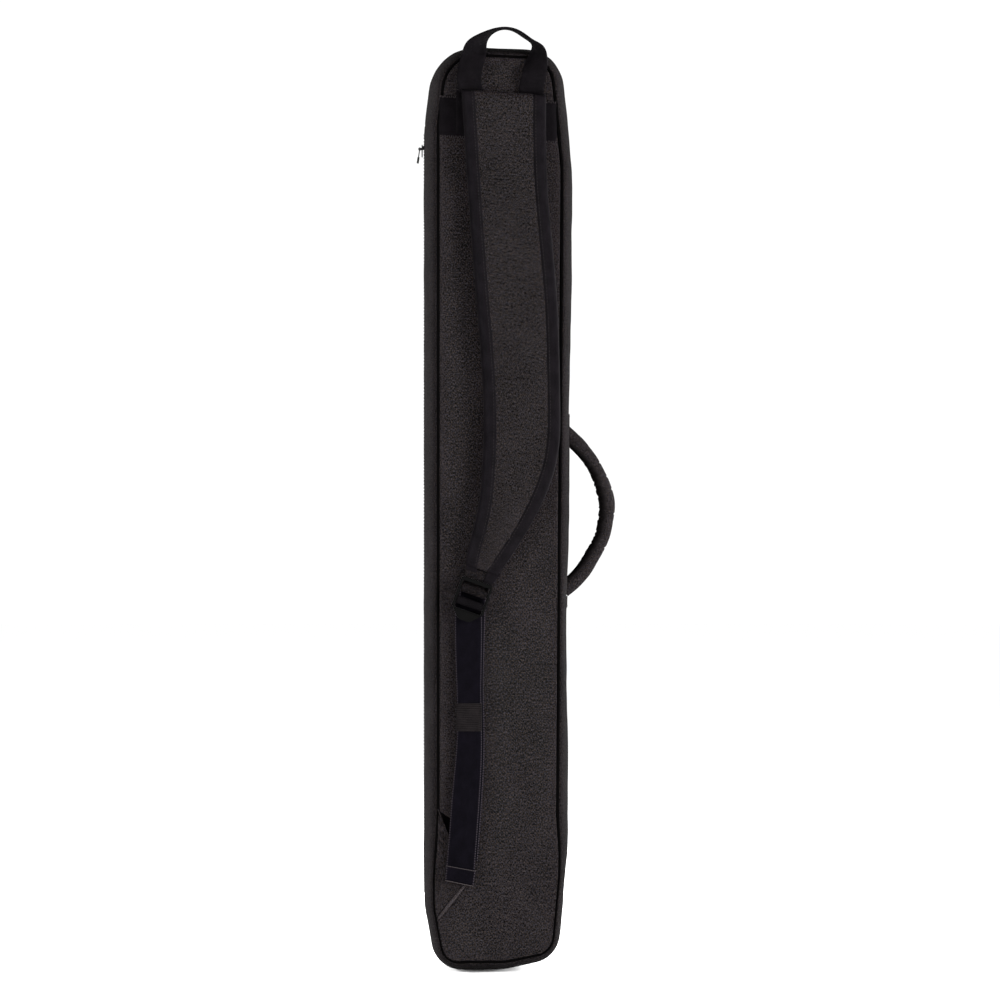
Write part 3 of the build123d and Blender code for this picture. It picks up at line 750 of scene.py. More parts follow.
LINING_DEPTH = HALF_DEPTH - WALL
LINING_END = LINING_DEPTH - 0.3
LINING_PANEL = (WALL, LINING_DEPTH, [(0, 2.5), (0.8, 0.7), (2.5, 0), (12, 0)], LINING, "lining", 0.6)


def lining_wall(name, start, end, y_from, y_to):
    which = stations(start, end)
    y = np.linspace(y_from, y_to, max(4, round(abs(y_to - y_from) / 6)))
    run = np.arange(len(which))[:, None] * 4.0
    soft = 0.5 * wobble(run, y[None, :], 60) * np.clip((44.5 - np.abs(y)) / 6, 0, 1)[None, :]
    return dress(thicken(lay(name, sweep_profile(which, joined(WALL, y), soft)), 0.5), LINING, "lining")


def case_inside():
    around = lining_wall("side_lining_cloth", LEFT_LOW, LEFT_HIGH, -LINING_END, LINING_END)
    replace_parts(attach(around, "case"), "side_lining")
    rear = lining_wall("rear_zip_lining_cloth", LEFT_HIGH, LEFT_LOW, -LINING_END, -ZIP_EDGE - 0.5)
    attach(rear, "case")
    back = edit(panel("back_lining_cloth", -1, *LINING_PANEL), face_over)
    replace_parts(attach(back, "case"), "back_lining")
    face = edit(panel("front_lining_cloth", 1, *LINING_PANEL), face_over)
    fronts = split_front(face, "front_lining_cloth", "front_lining", "front_border_lining")
    wall = lining_wall("front_zip_lining_cloth", LEFT_HIGH, LEFT_LOW, ZIP_EDGE + 0.5, LINING_END)
    halves = halve_flap(wall, "front_zip_lining_cloth", "front_zip_lining")
    for piece in (around, rear):
        cut_sheet(piece, "stretched", "bottom_foam", "right_foam", "top_foam")
    cut_sheet(back, "stretched", "back_foam")
    for piece in (*fronts, *halves):
        cut_sheet(piece, "stretched", "front_foam")
    rims()
    for node in ("bottom_end_pad", "top_end_pad"):
        end_pad(node)


def rims():
    """The black tape that binds the wall's edge on both sides of the zip."""
    which = stations(LEFT_HIGH, LEFT_LOW)
    for side, name in ((-1, "rear_zip_binding"), (1, "front_zip_binding")):
        y = side * ZIP_EDGE
        bulge = [(1.3, y), (3.0, y - side * 0.9), (5.5, y - side * 1.2), (8.2, y - side * 0.9), (WALL, y)]
        obj = dress(thicken(lay(name, sweep_profile(which, bulge), flip=side < 0), 0.6), BIND, "binding")
        if side < 0:
            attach(obj, "case")
        else:
            halve_flap(obj, name)


def end_pad(node):
    """A rounded block of padding that fills one end of the case."""
    low, high = [np.array(v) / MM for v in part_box(node)]
    middle, half = (low + high) / 2, (high - low) / 2 - 0.4
    half[0] -= 4
    rise = np.linspace(-math.pi / 2, math.pi / 2, 21)[1:-1]
    ring, height = np.meshgrid(full_turn(72), rise, indexing="ij")
    flat = power(np.cos(height), 0.45)
    x, y = flat * power(np.cos(ring), 0.3), flat * power(np.sin(ring), 0.3)
    grid = middle + joined(x, y, power(np.sin(height), 0.45)) * half
    obj = edit(lay(f"{node}_cushion", grid, closed=(True, False)), close_ends)
    return dress(obj, LINING, "lining", "case", node)


# ---------------------------------------------------------------- sewing and webbing


def stitches(name, spots, ways, face, length, radius, material, slot="binding"):
    """A row of thread stitches: one small spindle at each spot along its way, flattened against the face."""
    spots = np.asarray(spots, float)
    ways = unit(np.broadcast_to(np.asarray(ways, float), spots.shape))
    sides = unit(np.cross(ways, face))
    rises = np.cross(sides, ways)
    rings = [(t, math.cos(a), math.sin(a)) for t in (-0.3, 0.3) for a in full_turn(6)]
    shape = np.array([(-0.5, 0, 0), *rings, (0.5, 0, 0)])[None]
    points = (
        spots[:, None, :]
        + ways[:, None, :] * shape[..., :1] * length
        + sides[:, None, :] * shape[..., 1:2] * radius
        + rises[:, None, :] * shape[..., 2:] * radius * 0.7
    )
    one = [(0, 1 + (i + 1) % 6, 1 + i) for i in range(6)]
    one += [(1 + i, 1 + (i + 1) % 6, 7 + (i + 1) % 6, 7 + i) for i in range(6)]
    one += [(13, 7 + i, 7 + (i + 1) % 6) for i in range(6)]
    return dress(build_many(name, points, one), material, slot)


def build_many(name, points, one):
    """One mesh of many equal bodies: their points (body, point, 3), and the faces of one of them."""
    size = points.shape[1]
    faces = [[size * n + k for k in face] for n in range(len(points)) for face in one]
    return build(name, points.reshape(-1, 3), faces)


TAPE_ACROSS = WEBBING - 0.4


def ribbon(line, y, name, curve=0.0, columns=12):
    """A flat tape along (x, z, width) points, at depth y. curve bows its middle outward."""
    line = np.asarray(line, float)
    flat, widths = line[:, :2], line[:, 2]
    way = unit(np.gradient(flat, axis=0))
    side = joined(-way[:, 1], way[:, 0])
    across = np.linspace(-0.5, 0.5, columns)[None, :]
    spots = flat[:, None, :] + side[:, None, :] * (across * widths[:, None])[..., None]
    depth = np.broadcast_to(y, len(line))[:, None] - curve * (1 - (2 * across) ** 2)
    return lay(name, upright(spots, depth), uv=joined(across * TAPE_ACROSS, run_along(flat)[:, None]))


def band():
    """The webbing sewn right across the top of the back, with close stitches along both its edges."""
    (left, high_left), (right, high_right), (_, low_right), (_, low_left) = BAND_CORNERS
    columns = np.linspace(0, 1, 40)
    x = left + (right - left) * columns
    top = high_left + (high_right - high_left) * columns
    foot = low_left + (low_right - low_left) * columns
    z = foot + (top - foot) * np.linspace(0, 1, 12)[:, None]
    tuck = 1.5 * np.exp(-np.minimum(x - left, right - x) / 1.2)
    y = BACK - 0.95 + tuck - 0.12 * wobble(x, z, 24)
    obj = thicken(lay("back_band_webbing", joined(x, y, z), flip=True), 0.8)
    dress(obj, BAND_TAPE, "webbing", "case", "back_band")
    count = round((right - left - 3) / 1.75)
    at = np.linspace(left + 1.5, right - 1.5, count)
    ways = [(0.35 * (-1) ** i, 0, 1) for i in range(count)]
    for name, edge, inward in (("band_stitches_top", top, -1), ("band_stitches_foot", foot, 1)):
        spots = joined(at, BACK - 1.1, np.interp(at, x, edge) + inward * 0.9)
        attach(stitches(name, spots, ways, (0, -1, 0), 2.6, 0.22, THREAD, "webbing"), "case")


# The loop over the top, from its left foot: outer edge (x, z), inner edge (x, z), and y of its middle.
LOOP_STATIONS = [
    (-38.0, 836, -15.0, 836, -57.3),
    (-39.4, 844.5, -16.4, 844.5, -58.6),
    (-40.4, 850, -17.0, 850, -61.9),
    (-39.4, 858, -15.8, 858, -63.0),
    (-37.6, 866, -13.6, 866, -62.6),
    (-34.6, 874.6, -12.0, 874, -61.8),
    (-30.5, 882.0, -11.6, 881, -61.0),
    (-20.5, 888.4, -9.8, 887.0, -60.0),
    (-9.5, 892.8, -5.8, 892.0, -59.2),
    (3.7, 895.5, 3.9, 896.2, -59.0),
    (16.5, 893.2, 15.0, 894.0, -59.2),
    (25.5, 887.6, 23.6, 888.4, -60.0),
    (32.5, 882.8, 30.4, 883.2, -60.8),
    (39.8, 878.5, 31.0, 878.5, -61.4),
    (44.3, 869, 27.0, 870, -62.4),
    (45.2, 859, 22.6, 859, -63.0),
    (44.4, 850.5, 20.8, 850.5, -61.9),
    (43.0, 844.5, 19.4, 844.5, -58.6),
    (42.2, 836, 18.8, 836, -57.3),
]
LOOP_WIDTH = 23.4


def grab_loop():
    """The loop of webbing over the top: its legs face back, and its arch is twisted edge-on."""
    rows = smooth(LOOP_STATIONS, 130)
    outer, inner, middle = rows[:, 0:2], rows[:, 2:4], rows[:, 4:]
    seen = np.minimum(np.linalg.norm(outer - inner, axis=1), LOOP_WIDTH)
    lean = np.sqrt(LOOP_WIDTH**2 - seen**2)[:, None] / 2
    share = np.linspace(0, 1, 14)[None, :]
    flat = outer[:, None, :] + (inner - outer)[:, None, :] * share[..., None]
    y = middle - lean * (1 - 2 * share) - 0.5 * (1 - (2 * share - 1) ** 2)
    obj = thicken(lay("grab_loop_webbing", upright(flat, y), flip=True), 1.8)
    dress(obj, LOOP_TAPE, "webbing", None, "grab_loop")
    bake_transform(obj)
    for name, x in LOOP_TAILS_X.items():
        line = [(x, z, LOOP_WIDTH) for z in (797, 810, 825, 838)]
        tail = ribbon(line, [-56.4, -57.0, -57.3, -57.6], f"loop_tail_{name}")
        dress(thicken(tail, 1.0), LOOP_TAPE, "webbing", "case", "grab_loop_tails")
    under = ribbon([(1.2, 797, 33), (1.2, 829, 33)], -57.1, "strap_anchor_webbing")
    dress(thicken(under, 1.0), LOOP_TAPE, "webbing", "case", "strap_anchor")


# ---------------------------------------------------------------- the shoulder strap


STRAP_ROWS = 300
STRAP_RUN = 470
PAD_THICK = 9.1
PAD_STOPS = 11  # the padding ends this far above the strap's flat end


def strap_lines():
    """The padded part's left and right edges, and at each point its run, thickness and bow."""
    left, right = [smooth(edge, STRAP_ROWS) for edge in zip(*STRAP_EDGES)]
    along = np.linspace(0, 1, STRAP_ROWS) * STRAP_RUN
    to_end = STRAP_RUN - along
    top = np.clip(along / 9, 0, 1)
    foot = np.clip((to_end - PAD_STOPS) / 34, 0, 1)
    thick = PAD_THICK * (0.52 + 0.48 * np.sqrt(1 - (1 - top) ** 2))
    thick *= 0.6 + 0.4 * foot * foot * (3 - 2 * foot)
    padded = to_end > PAD_STOPS
    return [values[padded] for values in (left, right, along, thick, 0.35 * wobble(along, 0, 90))]


def across_strap(e_from_left, y, left, right):
    """Points at depths y that lie given millimetres in from the strap's left edge."""
    return upright(left[:, None, :] + unit(right - left)[:, None, :] * e_from_left[..., None], y)


def strap_pad():
    left, right, along, thick, bow = strap_lines()
    width = np.linalg.norm(right - left, axis=1)[:, None]
    share = np.linspace(-1, 1, 25)[None, :]
    inset = np.minimum(8.5, width * 0.3)
    e = inset + (width - 2 * inset) * (share + 1) / 2
    front = STRAP_IN - thick[:, None] + bow[:, None]
    crown = 1.15 * (1 - np.abs(share) ** 3)
    fine = creases(share, along[:, None], 7, 150, (14, 440), (0.7, 1.6), (-0.32, 0.42))
    broad = creases(share, along[:, None], 11, 34, (20, 430), (3, 7), (-0.45, 0.45))
    y = front + 0.75 - crown - (fine + broad) * (1 - share**6)
    behind = across_strap(e[:, ::-1], STRAP_IN - 0.8, left, right)
    grid = np.concatenate([across_strap(e, y, left, right), behind], 1)
    obj = edit(lay("strap_pad", grid, closed=(False, True)), close_ends)
    dress(obj, STRAP_CLOTH, "case_fabric")
    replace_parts(obj, "strap_cover", "strap_foam")
    on_strap(obj)
    backing = thicken(lay("strap_backing_mesh", across_strap(e[:, ::3], STRAP_IN, left, right)), 0.7)
    on_strap(dress(backing, MESH_CLOTH, "strap_mesh", None, "strap_backing"))
    cut_sheet(backing, "stretched", "strap_pad")


def on_strap(obj):
    """The strap's top is sewn to the case and the rest swings. Bakes a strap piece's placement into its mesh.
    """
    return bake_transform(obj)


def strap_bindings():
    left, right, along, thick, bow = strap_lines()
    width = np.linalg.norm(right - left, axis=1)
    reach = np.minimum(BINDING, width * 0.42)
    turns = np.linspace(0.5 * math.pi, 1.5 * math.pi, 13)
    edge = np.stack([reach * s for s in (1, 0.97, 0.8, 0.6, 0.45)], 1)
    nose = np.broadcast_to(3.4 + 3.4 * np.cos(turns), (len(left), 13))
    in_from_edge = np.concatenate([edge, nose, edge[:, ::-1]], 1)
    front = (STRAP_IN - thick + bow)[:, None]
    arc = (front + STRAP_IN) / 2 - np.sin(turns)[None, :] * (STRAP_IN - front) / 2
    behind = np.full((len(left), 5), STRAP_IN)
    for name, mirror, phase in (("strap_binding_left", False, 9), ("strap_binding_right", True, 3)):
        lips = np.array([0.5, 0.02, -0.22, -0.18, -0.1])[None, :] + 0.18 * wobble(along, phase, 17)[:, None]
        y = np.concatenate([front + lips, arc, behind], 1)
        e = width[:, None] - in_from_edge if mirror else in_from_edge
        grid = across_strap(e, y, left, right)
        obj = thicken(lay(f"{name}_tape", grid, flip=not mirror), 0.9)
        on_strap(dress(obj, BIND, "binding", None, name))
        line = spaced(grid[:, 2], 150)[1:-1]
        spots, ways = line + np.array([0, -0.12, 0]), np.gradient(line, axis=0)
        on_strap(stitches(f"{name}_stitches", spots, ways, (0, -1, 0), 2.0, 0.24, DARK_THREAD))


def from_lock(points):
    """(x along the bars, y up, z away from the case) points in the lock's frame, in the case's frame."""
    points = np.asarray(points, float)
    x, y, z = points[..., 0], points[..., 1], points[..., 2]
    c, s = math.cos(LOCK_TURN), math.sin(LOCK_TURN)
    return joined(LOCK_CENTRE[0] + c * x + s * y, LOCK_Y - z, LOCK_CENTRE[1] - s * x + c * y)


def at_lock(name, x, y, z, flip=False):
    """A sheet over a grid of x, y and z in the lock's frame."""
    return lay(name, from_lock(joined(x, y, z)), flip=flip)


# The fold round the lock's top bar (y, z), and the collar's rows: y, left x, right x and z.
LOOP_PATH = [(18.5, -2.9), (15.5, -3.9), (12.4, -3.7), (9.6, -1.4), (7.2, 1.7), (4.9, 2.9), (2.7, 2.3)]
LOOP_PATH += [(1.6, 0.2), (2.4, -2.2), (4.9, -3.4), (9, -4.5), (13, -5.0), (17, -5.0)]
COLLAR_ROWS = [
    (29.5, -17, 17.8, -1.0),
    (26, -15.6, 16.6, -1.2),
    (22, -14.2, 15, -1.4),
    (17.5, -13.2, 13.8, -1.9),
    (13, -12.6, 13, -2.9),
]


def buckle_fabric():
    """The strap's end, gathered behind the lock's top bar and folded round the bar below."""
    path = smooth(LOOP_PATH, 90)
    x = 12.3 * np.linspace(-1, 1, 25)[None, :]
    along = np.linspace(0, 1, 90)[:, None]
    ruck = 0.35 * wobble(x, along * 60, 9) + 0.25 * wobble(x, along * 60 + 5, 5)
    z = path[:, 1:] + ruck * np.exp(-(((along - 0.36) / 0.2) ** 2))
    obj = thicken(at_lock("buckle_loop_fabric", x, path[:, :1], z, flip=True), 1.0, 0)
    dress(obj, LOOP_CLOTH, "case_fabric", "shoulder_strap", "buckle_loop")
    cut_sheet(obj, "folded", "ladder_lock")
    strap_collar()


def strap_collar():
    """The strap's flat end below its padding, which narrows in to the ladder lock."""
    y, left, right, depth = smooth(COLLAR_ROWS, 30).T[..., None]
    share = np.linspace(0, 1, 24)[None, :]
    x = left + (right - left) * share
    z = depth + 0.25 * wobble(x, y, 8) - 0.5 * np.abs(2 * share - 1) ** 6
    obj = edit(at_lock("strap_collar_cloth", x, y, z, flip=True), face_back)
    dress(thicken(obj, 0.9), COLLAR_CLOTH, "case_fabric", "shoulder_strap")
    cut_sheet(obj, "gathered", "buckle_loop_fabric")
    for name, first, last, kept in (("left", 0, 0.36, 14), ("right", 0.68, 1.03, 30)):
        x = (left + (right - left) * np.linspace(first, last, 10)[None, :])[:kept]
        tape = edit(at_lock(f"collar_binding_{name}", x, y[:kept], depth[:kept] + 0.7), face_back)
        dress(thicken(tape, 0.8), BIND, "binding", "shoulder_strap")
    spots = from_lock([(x, 25.6, -0.95) for x in np.linspace(-14.5, 15.5, 15)])
    row = stitches("strap_end_stitches", spots, spots[1] - spots[0], (0, -1, 0), 1.7, 0.4, PIPE)
    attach(row, "shoulder_strap")


# The webbing's turn round the lock's low bar: (y, z) in the lock's frame.
TURN_PATH = [(-8.3, -1.5), (-9.6, -0.9), (-9.9, 0.6), (-9.4, 2.2), (-8.0, 2.75), (-7.15, 2.85)]
TURN_PATH += [(-6.3, 2.75), (-4.9, 2.2), (-4.4, 0.6), (-4.7, -0.9), (-6.0, -1.5)]
TURN_HALF = 12.9


def lock_pieces():
    dress(soften(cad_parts["ladder_lock"], 0.55, 3), PLASTIC, "moulded_black")
    path = smooth(TURN_PATH, 40)
    x = np.linspace(-TURN_HALF, TURN_HALF, 20)[None, :]
    obj = thicken(at_lock("webbing_turn_tape", x, path[:, :1], path[:, 1:]), 1.0)
    dress(obj, TURN_TAPE, "webbing", "lock", "webbing_turn")


# ---------------------------------------------------------------- the lower webbing


# The free tail of the webbing, from the ladder lock down: x, z and width.
TAIL_LINE = [
    (-29, 352, 25.4),
    (-29, 315, 25.6),
    (-28.5, 262, 23),
    (-28.1, 226, 23.6),
    (-31.4, 170, 26.4),
    (-34.2, 131, 26.6),
    (-36.4, 103, 26.8),
    (-37.2, 92, 26.8),
]
LAYER_SHIFT = 2.4  # how far the layer below shows beside the tail
LAYER_TOP = (-24.8, 364, 24.5)  # it goes on up behind the ladder lock
HEM_TOP = [(-49.8, 103.4), (-22.4, 98.3)]
HEM_LOW = [(-51.2, 88.8), (-24.6, 83.2)]


def lower_webbing():
    line = smooth(TAIL_LINE, 170)
    y = TAIL_Y + 0.25 * wobble(np.linspace(0, 260, 170), 0, 70)
    tail = edit(ribbon(line, y, "webbing_tail_tape", 0.25), face_back)
    dress(thicken(tail, 1.3), TAPE, "webbing", "lower_webbing", "webbing_tail")
    below = [LAYER_TOP] + [(x + LAYER_SHIFT, z, width) for x, z, width in TAIL_LINE[1:-1]]
    under = edit(ribbon(smooth(below, 160)[:-3], ANCHOR_Y, "webbing_anchor_tape"), face_back)
    dress(thicken(under, 1.0), TAPE, "webbing", "lower_webbing", "webbing_anchor")
    hem()


def hem():
    """The tail's end, folded over and sewn: thicker than the tail, with a stitched line across its top."""
    share = np.linspace(0, 1, 14)
    top, low = [np.outer(1 - share, a) + np.outer(share, b) for a, b in (HEM_TOP, HEM_LOW)]
    down = np.array([0, 0.06, 0.2, 0.45, 0.7, 0.9, 1.0])[:, None]
    depth = TAIL_Y - np.array([0.9, 1.7, 1.9, 1.85, 1.8, 1.6, 0.6])[:, None]
    flat = top[None] + (low - top)[None] * down[..., None]
    uv = joined((share - 0.5) * TAPE_ACROSS, 14 * down)
    obj = edit(lay("tail_hem_tape", upright(flat, depth), uv=uv), face_back)
    dress(thicken(obj, 1.1), TAPE, "webbing", "lower_webbing", "tail_hem")
    at = np.linspace(0.02, 0.98, 17)
    rows = (("hem_stitches", HEM_TOP, 1.0, 0.36), ("hem_edge", HEM_LOW, 0.1, 0.45))
    for name, (left, right), inward, radius in rows:
        spots = upright(np.outer(1 - at, left) + np.outer(at, right) - (0, inward), TAIL_Y - 1.75)
        row = stitches(name, spots, spots[-1] - spots[0], (0, -1, 0), 1.8, radius, THREAD, "webbing")
        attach(row, "lower_webbing")


RIB_PITCH = 1.85


def keeper():
    """The ribbed elastic band round both layers of webbing."""
    low, high = KEEPER_Z
    box_low, box_high = [v[1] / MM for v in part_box("elastic_keeper")]
    half_y = (box_high - box_low) / 2 - 0.1
    turn = full_turn(72)[None, :]
    z = np.linspace(low, high, 90)[:, None]
    pinch = 0.35 * np.exp(-np.minimum(z - low, high - z) / 1.0)
    size = 0.16 * np.cos(2 * math.pi * (z - low) / RIB_PITCH) - pinch
    shift = power(np.cos(turn), 0.22) * (KEEPER_HALF + size)
    y = (box_low + box_high) / 2 + power(np.sin(turn), 0.5) * (half_y + size)
    slant = 0.03 * shift * np.sin(math.pi * (z - low) / (high - low)) + z
    obj = lay("elastic_keeper_band", joined(KEEPER_X + shift, y, slant), closed=(False, True))
    dress(thicken(edit(obj, face_out), 0.6), ELASTIC, "elastic", "keeper", "elastic_keeper")


def strap_tab():
    """The folded triangle of cloth that holds the webbing's end: its free edges stand off the panel."""
    v = np.linspace(0, 1, 20)[:, None]
    u = np.linspace(0, 1, 34)[None, :]
    x0, z0 = -57.6 - 0.6 * v, 52 + 104 * v
    x1, z1 = -26 + 4 * v, 90.5 + 6.5 * v
    x = x0 + (x1 - x0) * u
    z = z0 + (z1 - z0) * u - 11 * np.sin(math.pi * u) * v**3 + 1.0 * np.sin(math.pi * u) * (1 - v) ** 3
    lift = np.clip(u / 0.12, 0, 1) * (1.0 + 1.1 * v**4 + 0.6 * (1 - v) ** 5 + 0.2 * u)
    y = BACK + 0.5 - lift - 0.12 * wobble(x, z, 22)
    obj = thicken(lay("strap_tab_cloth", joined(x, y, z), flip=True), 1.0)
    dress(obj, TAB_CLOTH, "case_fabric", "case", "strap_tab")
    cut_sheet(obj, "folded", "back_panel_cloth")
    for name, row, ends, material in (
        # the lower fold's paler cloth is a painted highlight
        ("tab_fold_low", 0, (1.0, 1.7, 1.3, 0.8), TAB_FOLD_HIGHLIGHT_CLOTH),
        ("tab_fold_high", -1, (0.6, 0.6), TAB_CLOTH),
    ):
        line = spaced(joined(x[row], y[row] - 0.1, z[row]), 40)
        radius = np.interp(np.linspace(0, 1, 40), np.linspace(0, 1, len(ends)), ends)
        dress(tube(name, line, radius, 10), material, "case_fabric", "case")
    painted_shadow_under_tab(u[0], x[-1], z[-1])


def painted_shadow_under_tab(u, edge_x, edge_z):
    """A black sheet laid on the panel above the tab's upper edge, which is given along u: painted shadow of
    the lifted tab and webbing.
    """
    reach = np.linspace(0, 0.6, 16)
    x, z = np.interp(reach, u, edge_x), np.interp(reach, u, edge_z)
    # painted shadow: the black sheet grows taller towards the webbing, as the shade above the tab does
    rise = np.stack([z - 4, z, z + 62 * reach])
    under = edit(lay("tab_painted_shadow_sheet", joined(x, BACK - 0.15, rise)), face_back)
    cut_sheet(dress(thicken(under, 0.4), PIPE, "case_fabric", "case"), "laid", "back_panel_cloth", filled=0.6)


def tube(name, line, radius, around):
    """A round tube along a line of points."""
    way = unit(np.gradient(line, axis=0))
    first = unit(np.cross(way, (0, 1, 0)))
    second = np.cross(way, first)
    turn = full_turn(around)[None, :, None]
    ring = first[:, None, :] * np.cos(turn) + second[:, None, :] * np.sin(turn)
    grid = line[:, None, :] + ring * radius[:, None, None]
    return edit(lay(name, grid, closed=(False, True)), close_ends)


# ---------------------------------------------------------------- the side handle


HANDLE_ROWS = 220
HANDLE_RUN = 200
HANDLE_FOLDS = [(482, 1.5), (470, -1), (456.5, 3.5), (437, 0), (407, -2)]  # height and slant


def handle_points(line, run, turn, wide):
    """Points round the handle's middle line, at the angles in turn and the radii in wide."""
    flat = line[:, :2]
    way = unit(np.gradient(flat, axis=0))
    outward = joined(-way[:, 1], way[:, 0])
    points = flat[:, None, :] + outward[:, None, :] * (np.cos(turn) * wide)[..., None]
    flattened = 1 - 0.25 * np.exp(-np.minimum(run, HANDLE_RUN - run) / 14)
    return upright(points, np.sin(turn) * wide * flattened)


def side_handle():
    """A padded handle: cloth outside, and a dark strip gathered along its inner side."""
    line = smooth(HANDLE_LINE, HANDLE_ROWS)
    share = np.linspace(0, 1, HANDLE_ROWS)[:, None]
    run = share * HANDLE_RUN
    turn = full_turn(40)[None, :]
    folds = creases(np.cos(turn), run, 5, 40, (12, 188), (0.6, 1.4), (0.1, 0.35))
    for height, slant in HANDLE_FOLDS:
        middle = run[np.argmin(np.abs(line[:, 1] - height))]
        off = run - middle + slant * (np.cos(turn) - 0.6)
        folds = folds + 0.9 * np.exp(-((off / 0.8) ** 2)) * np.clip(np.cos(turn) + 0.1, 0, 1) ** 0.5
    wide = line[:, 2:] - folds + 0.2 * wobble(run, 8 * np.sin(turn), 30)
    grid = handle_points(line, run, turn, wide)
    cover = edit(lay("handle_cover_cloth", grid, closed=(False, True)), close_ends)
    # the cover's paler copy of the case cloth is painted light
    dress(cover, HANDLE_LIT_CLOTH, "case_fabric", None, "handle_cover", "handle_core")
    swing(cover)
    handle_grip(line, share, run)
    patches()


def handle_grip(line, share, run):
    """The dark strip along the handle's inner side."""
    angle = np.linspace(-1, 1, 26)[None, :]
    ripple = 0.5 + 0.5 * np.cos(run / 1.4 + 0.8 * np.sin(run / 9))
    middle = np.exp(-(((share - 0.5) / 0.33) ** 8))
    reach = 1.1 + (0.42 + 0.07 * ripple + 0.08 * wobble(run, 0, 11)) * middle
    tucks = creases(angle, run, 3, 16, (35, 170), (0.8, 1.5), (0.5, 1.0))
    gather = 0.3 * ripple + 0.25 * wobble(run, angle * 9, 8) - tucks
    wide = line[:, 2:] + 0.55 + gather * middle - 0.9 * np.abs(angle) ** 8
    grid = handle_points(line, run, math.pi + angle * reach, wide)
    strip = thicken(lay("handle_grip_tape", grid[3:-3]), 0.6)
    edit(strip, lambda bm: face_away(bm, line))
    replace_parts(swing(dress(strip, GRIP_TAPE, "binding")), "handle_grip_strip")


def face_away(bm, line):
    """Turns a strip's faces away from the handle's middle line."""
    middle = Vector((line[len(line) // 2][0] * MM, 0, line[len(line) // 2][1] * MM))
    face = min(bm.faces, key=lambda f: (f.calc_center_median() - middle).length)
    if face.normal.dot(face.calc_center_median() - middle) < 0:
        face_over(bm)


def swing(obj):
    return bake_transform(obj)


def patches():
    """Where the handle's ends are caught in the seams: a stitched patch of cloth on the gusset at each."""
    y = np.linspace(-10, 10, 12)
    profile = joined(-0.6 + 0.7 * np.abs(y / 10) ** 10, y)
    for name, low, high, sewn in (
        ("high", SEAM_HIGH_RIGHT + 0.8, 531.5, 3.8),
        ("low", 346.0, SEAM_LOW_RIGHT - 0.8, -3.8),
    ):
        which = stations(side_index(1, low), side_index(1, high))
        grid = sweep_profile(which, profile, waist(which))
        obj = thicken(lay(f"handle_patch_{name}", grid, flip=True), 1.0)
        dress(obj, CLOTH, "case_fabric", "case", "handle_seam_patches")
        cut_sheet(obj, "laid", "handle_gusset_cloth")
        x = float(grid[len(grid) // 2, 6, 0]) + 0.15
        spots = [(x, across, (low + high) / 2 + sewn) for across in range(-8, 9, 2)]
        row = stitches(f"handle_patch_stitches_{name}", spots, (0, 1, 0), (1, 0, 0), 1.5, 0.28, DARK_THREAD)
        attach(row, "case")


# ---------------------------------------------------------------- the zip


TEETH_X = -69.4
TOOTH_PITCH = 1.8
TOOTH = [(0.15, 0.42, -0.6), (0.15, 0.42, 0.6), (3.1, 0.5, 0.7), (3.1, 0.5, -0.7)]  # reach, half width, rise


def zip_row(name, side, low, high):
    """One row of moulded teeth, each a rounded peg that reaches from the tape towards the other row."""
    z = np.arange(low, high, TOOTH_PITCH) + (0 if side < 0 else TOOTH_PITCH / 2)
    reach, half, rise = np.array(TOOTH).T
    shape = np.concatenate([joined(TEETH_X - rise, side * reach, end * half) for end in (1, -1)])
    points = shape[None] + joined(0, 0, z)[:, None, :]
    one = [(0, 1, 2, 3), (7, 6, 5, 4), (0, 4, 5, 1), (1, 5, 6, 2), (2, 6, 7, 3), (3, 7, 4, 0)]
    return soften(dress(edit(build_many(name, points, one), face_out), TEETH, "zip_teeth"), 0.14, 1)


def zip_tape_strip(name, side):
    reach = np.linspace(0.5, ZIP_EDGE + 2.2, 8)
    profile = joined(1.45 + 0.06 * reach, side * reach)
    obj = lay(name, sweep_profile(stations(LEFT_HIGH, LEFT_LOW), profile), flip=side > 0)
    return dress(thicken(obj, 0.6), ZIP_TAPE, "zip_tape")


def zip_fastener():
    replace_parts(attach(zip_tape_strip("rear_zip_strip", -1), "case"), "rear_zip_tape")
    halve_flap(zip_tape_strip("front_zip_strip", 1), "front_zip_strip", "front_zip_tape")
    low, high = ZIP_LOW + 6, ZIP_HIGH - 6
    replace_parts(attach(zip_row("rear_teeth_row", -1, low, high), "case"), "rear_zip_teeth")
    for half, start, end in (("upper", MIDDLE_Z, high), ("lower", low, MIDDLE_Z - TOOTH_PITCH)):
        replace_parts(bend_open(zip_row(f"front_teeth_{half}", 1, start, end)), "front_zip_teeth")
    for node in ("zip_slider", "zip_pull_link", "zip_pull_grip", "zip_stops"):
        dress(soften(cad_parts[node], 0.25), METAL, "zip_metal")
    top_stitching()


def top_stitching():
    """Stitch lines along the folded cloth on both sides of the zip."""
    z = np.arange(SEAM_LOW_LEFT + 6, SEAM_HIGH_LEFT - 6, 3.2)
    left_side = OUTLINE[stations(LEFT_HIGH, LEFT_LOW)[::-1]]
    x = np.interp(z, left_side[:, 1], left_side[:, 0]) - 0.02

    def row(name, side, keep):
        spots = joined(x, side * (ZIP_EDGE + 2.4), z)[keep]
        return stitches(name, spots, (0, 0, 1), (-1, 0, 0), 2.1, 0.26, DARK_THREAD, "case_fabric")

    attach(row("rear_zip_stitches", -1, z > 0), "case")
    bend_open(row("front_zip_stitches_upper", 1, z > MIDDLE_Z))
    bend_open(row("front_zip_stitches_lower", 1, z <= MIDDLE_Z))


# ---------------------------------------------------------------- camera, light and floor


CAMERA_LENS = 187.5
CAMERA_AIM = Vector((0.0029, 0, 0.4493))
CAMERA_AWAY = 5
CAMERA_TURN = math.radians(2)
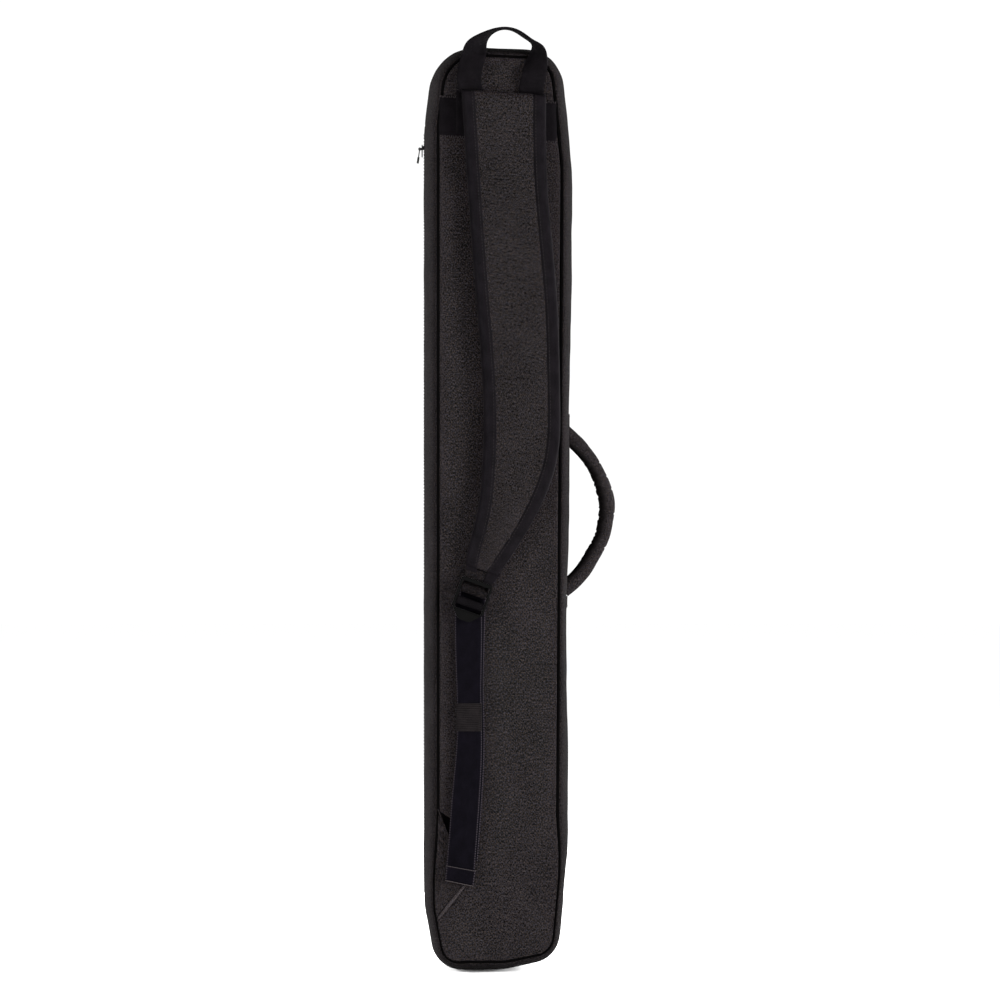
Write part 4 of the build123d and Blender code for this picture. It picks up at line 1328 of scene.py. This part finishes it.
# Each soft light's name, its side in x and in y, and its power.
SOFT_LIGHTS = [
    ("back_left", -1, -1, 150),
    ("back_right", 1, -1, 310),
    ("front_left", -1, 1, 190),
    ("front_right", 1, 1, 170),
]
LIGHT_X = 2.2
LIGHT_Y = 1.4
LIGHT_Z = 0.5
LIGHT_AIM = (0, 0, 0.4)
LIGHT_SIZE = (0.8, 1.5)
FLOOR_RADIUS = 14000


def aim(obj, target):
    obj.rotation_mode = "QUATERNION"
    obj.rotation_quaternion = (Vector(target) - obj.location).to_track_quat("-Z", "Y")


def set_camera():
    data = bpy.data.cameras.new("camera")
    data.sensor_width = 36
    data.lens = CAMERA_LENS
    data.clip_end = 100
    camera = place("camera", data)
    camera.location = CAMERA_AIM + CAMERA_AWAY * Vector((-math.sin(CAMERA_TURN), -math.cos(CAMERA_TURN), 0))
    aim(camera, CAMERA_AIM)
    bpy.context.scene.camera = camera


def set_light():
    """Four tall soft lights, at the left and right of the back and of the front, in a white room."""
    for name, side_x, side_y, strength in SOFT_LIGHTS:
        data = bpy.data.lights.new(name, "AREA")
        data.shape = "RECTANGLE"
        data.size, data.size_y = LIGHT_SIZE
        data.energy = strength
        light = place(name, data)
        light.location = (side_x * LIGHT_X, side_y * LIGHT_Y, LIGHT_Z)
        aim(light, LIGHT_AIM)
    world = bpy.data.worlds.new("studio")
    world.use_nodes = True
    background = world.node_tree.nodes["Background"].inputs
    background["Color"].default_value = (1, 1, 1, 1)
    background["Strength"].default_value = 1.05
    bpy.context.scene.world = world
    bpy.context.scene.view_settings.view_transform = "Standard"


def set_floor():
    points = [(FLOOR_RADIUS * math.cos(a), FLOOR_RADIUS * math.sin(a), -0.4) for a in full_turn(96)]
    floor = build("floor", points, [range(96)])
    material = start_material("floor_paper", 0.9, 0.0)[0]
    material.node_tree.nodes["Principled BSDF"].inputs["Base Color"].default_value = (0.95, 0.95, 0.95, 1)
    floor.data.materials.append(material)


case_outside()
case_inside()
band()
grab_loop()
strap_pad()
strap_bindings()
buckle_fabric()
lock_pieces()
lower_webbing()
keeper()
strap_tab()
side_handle()
zip_fastener()
set_camera()
set_light()
set_floor()
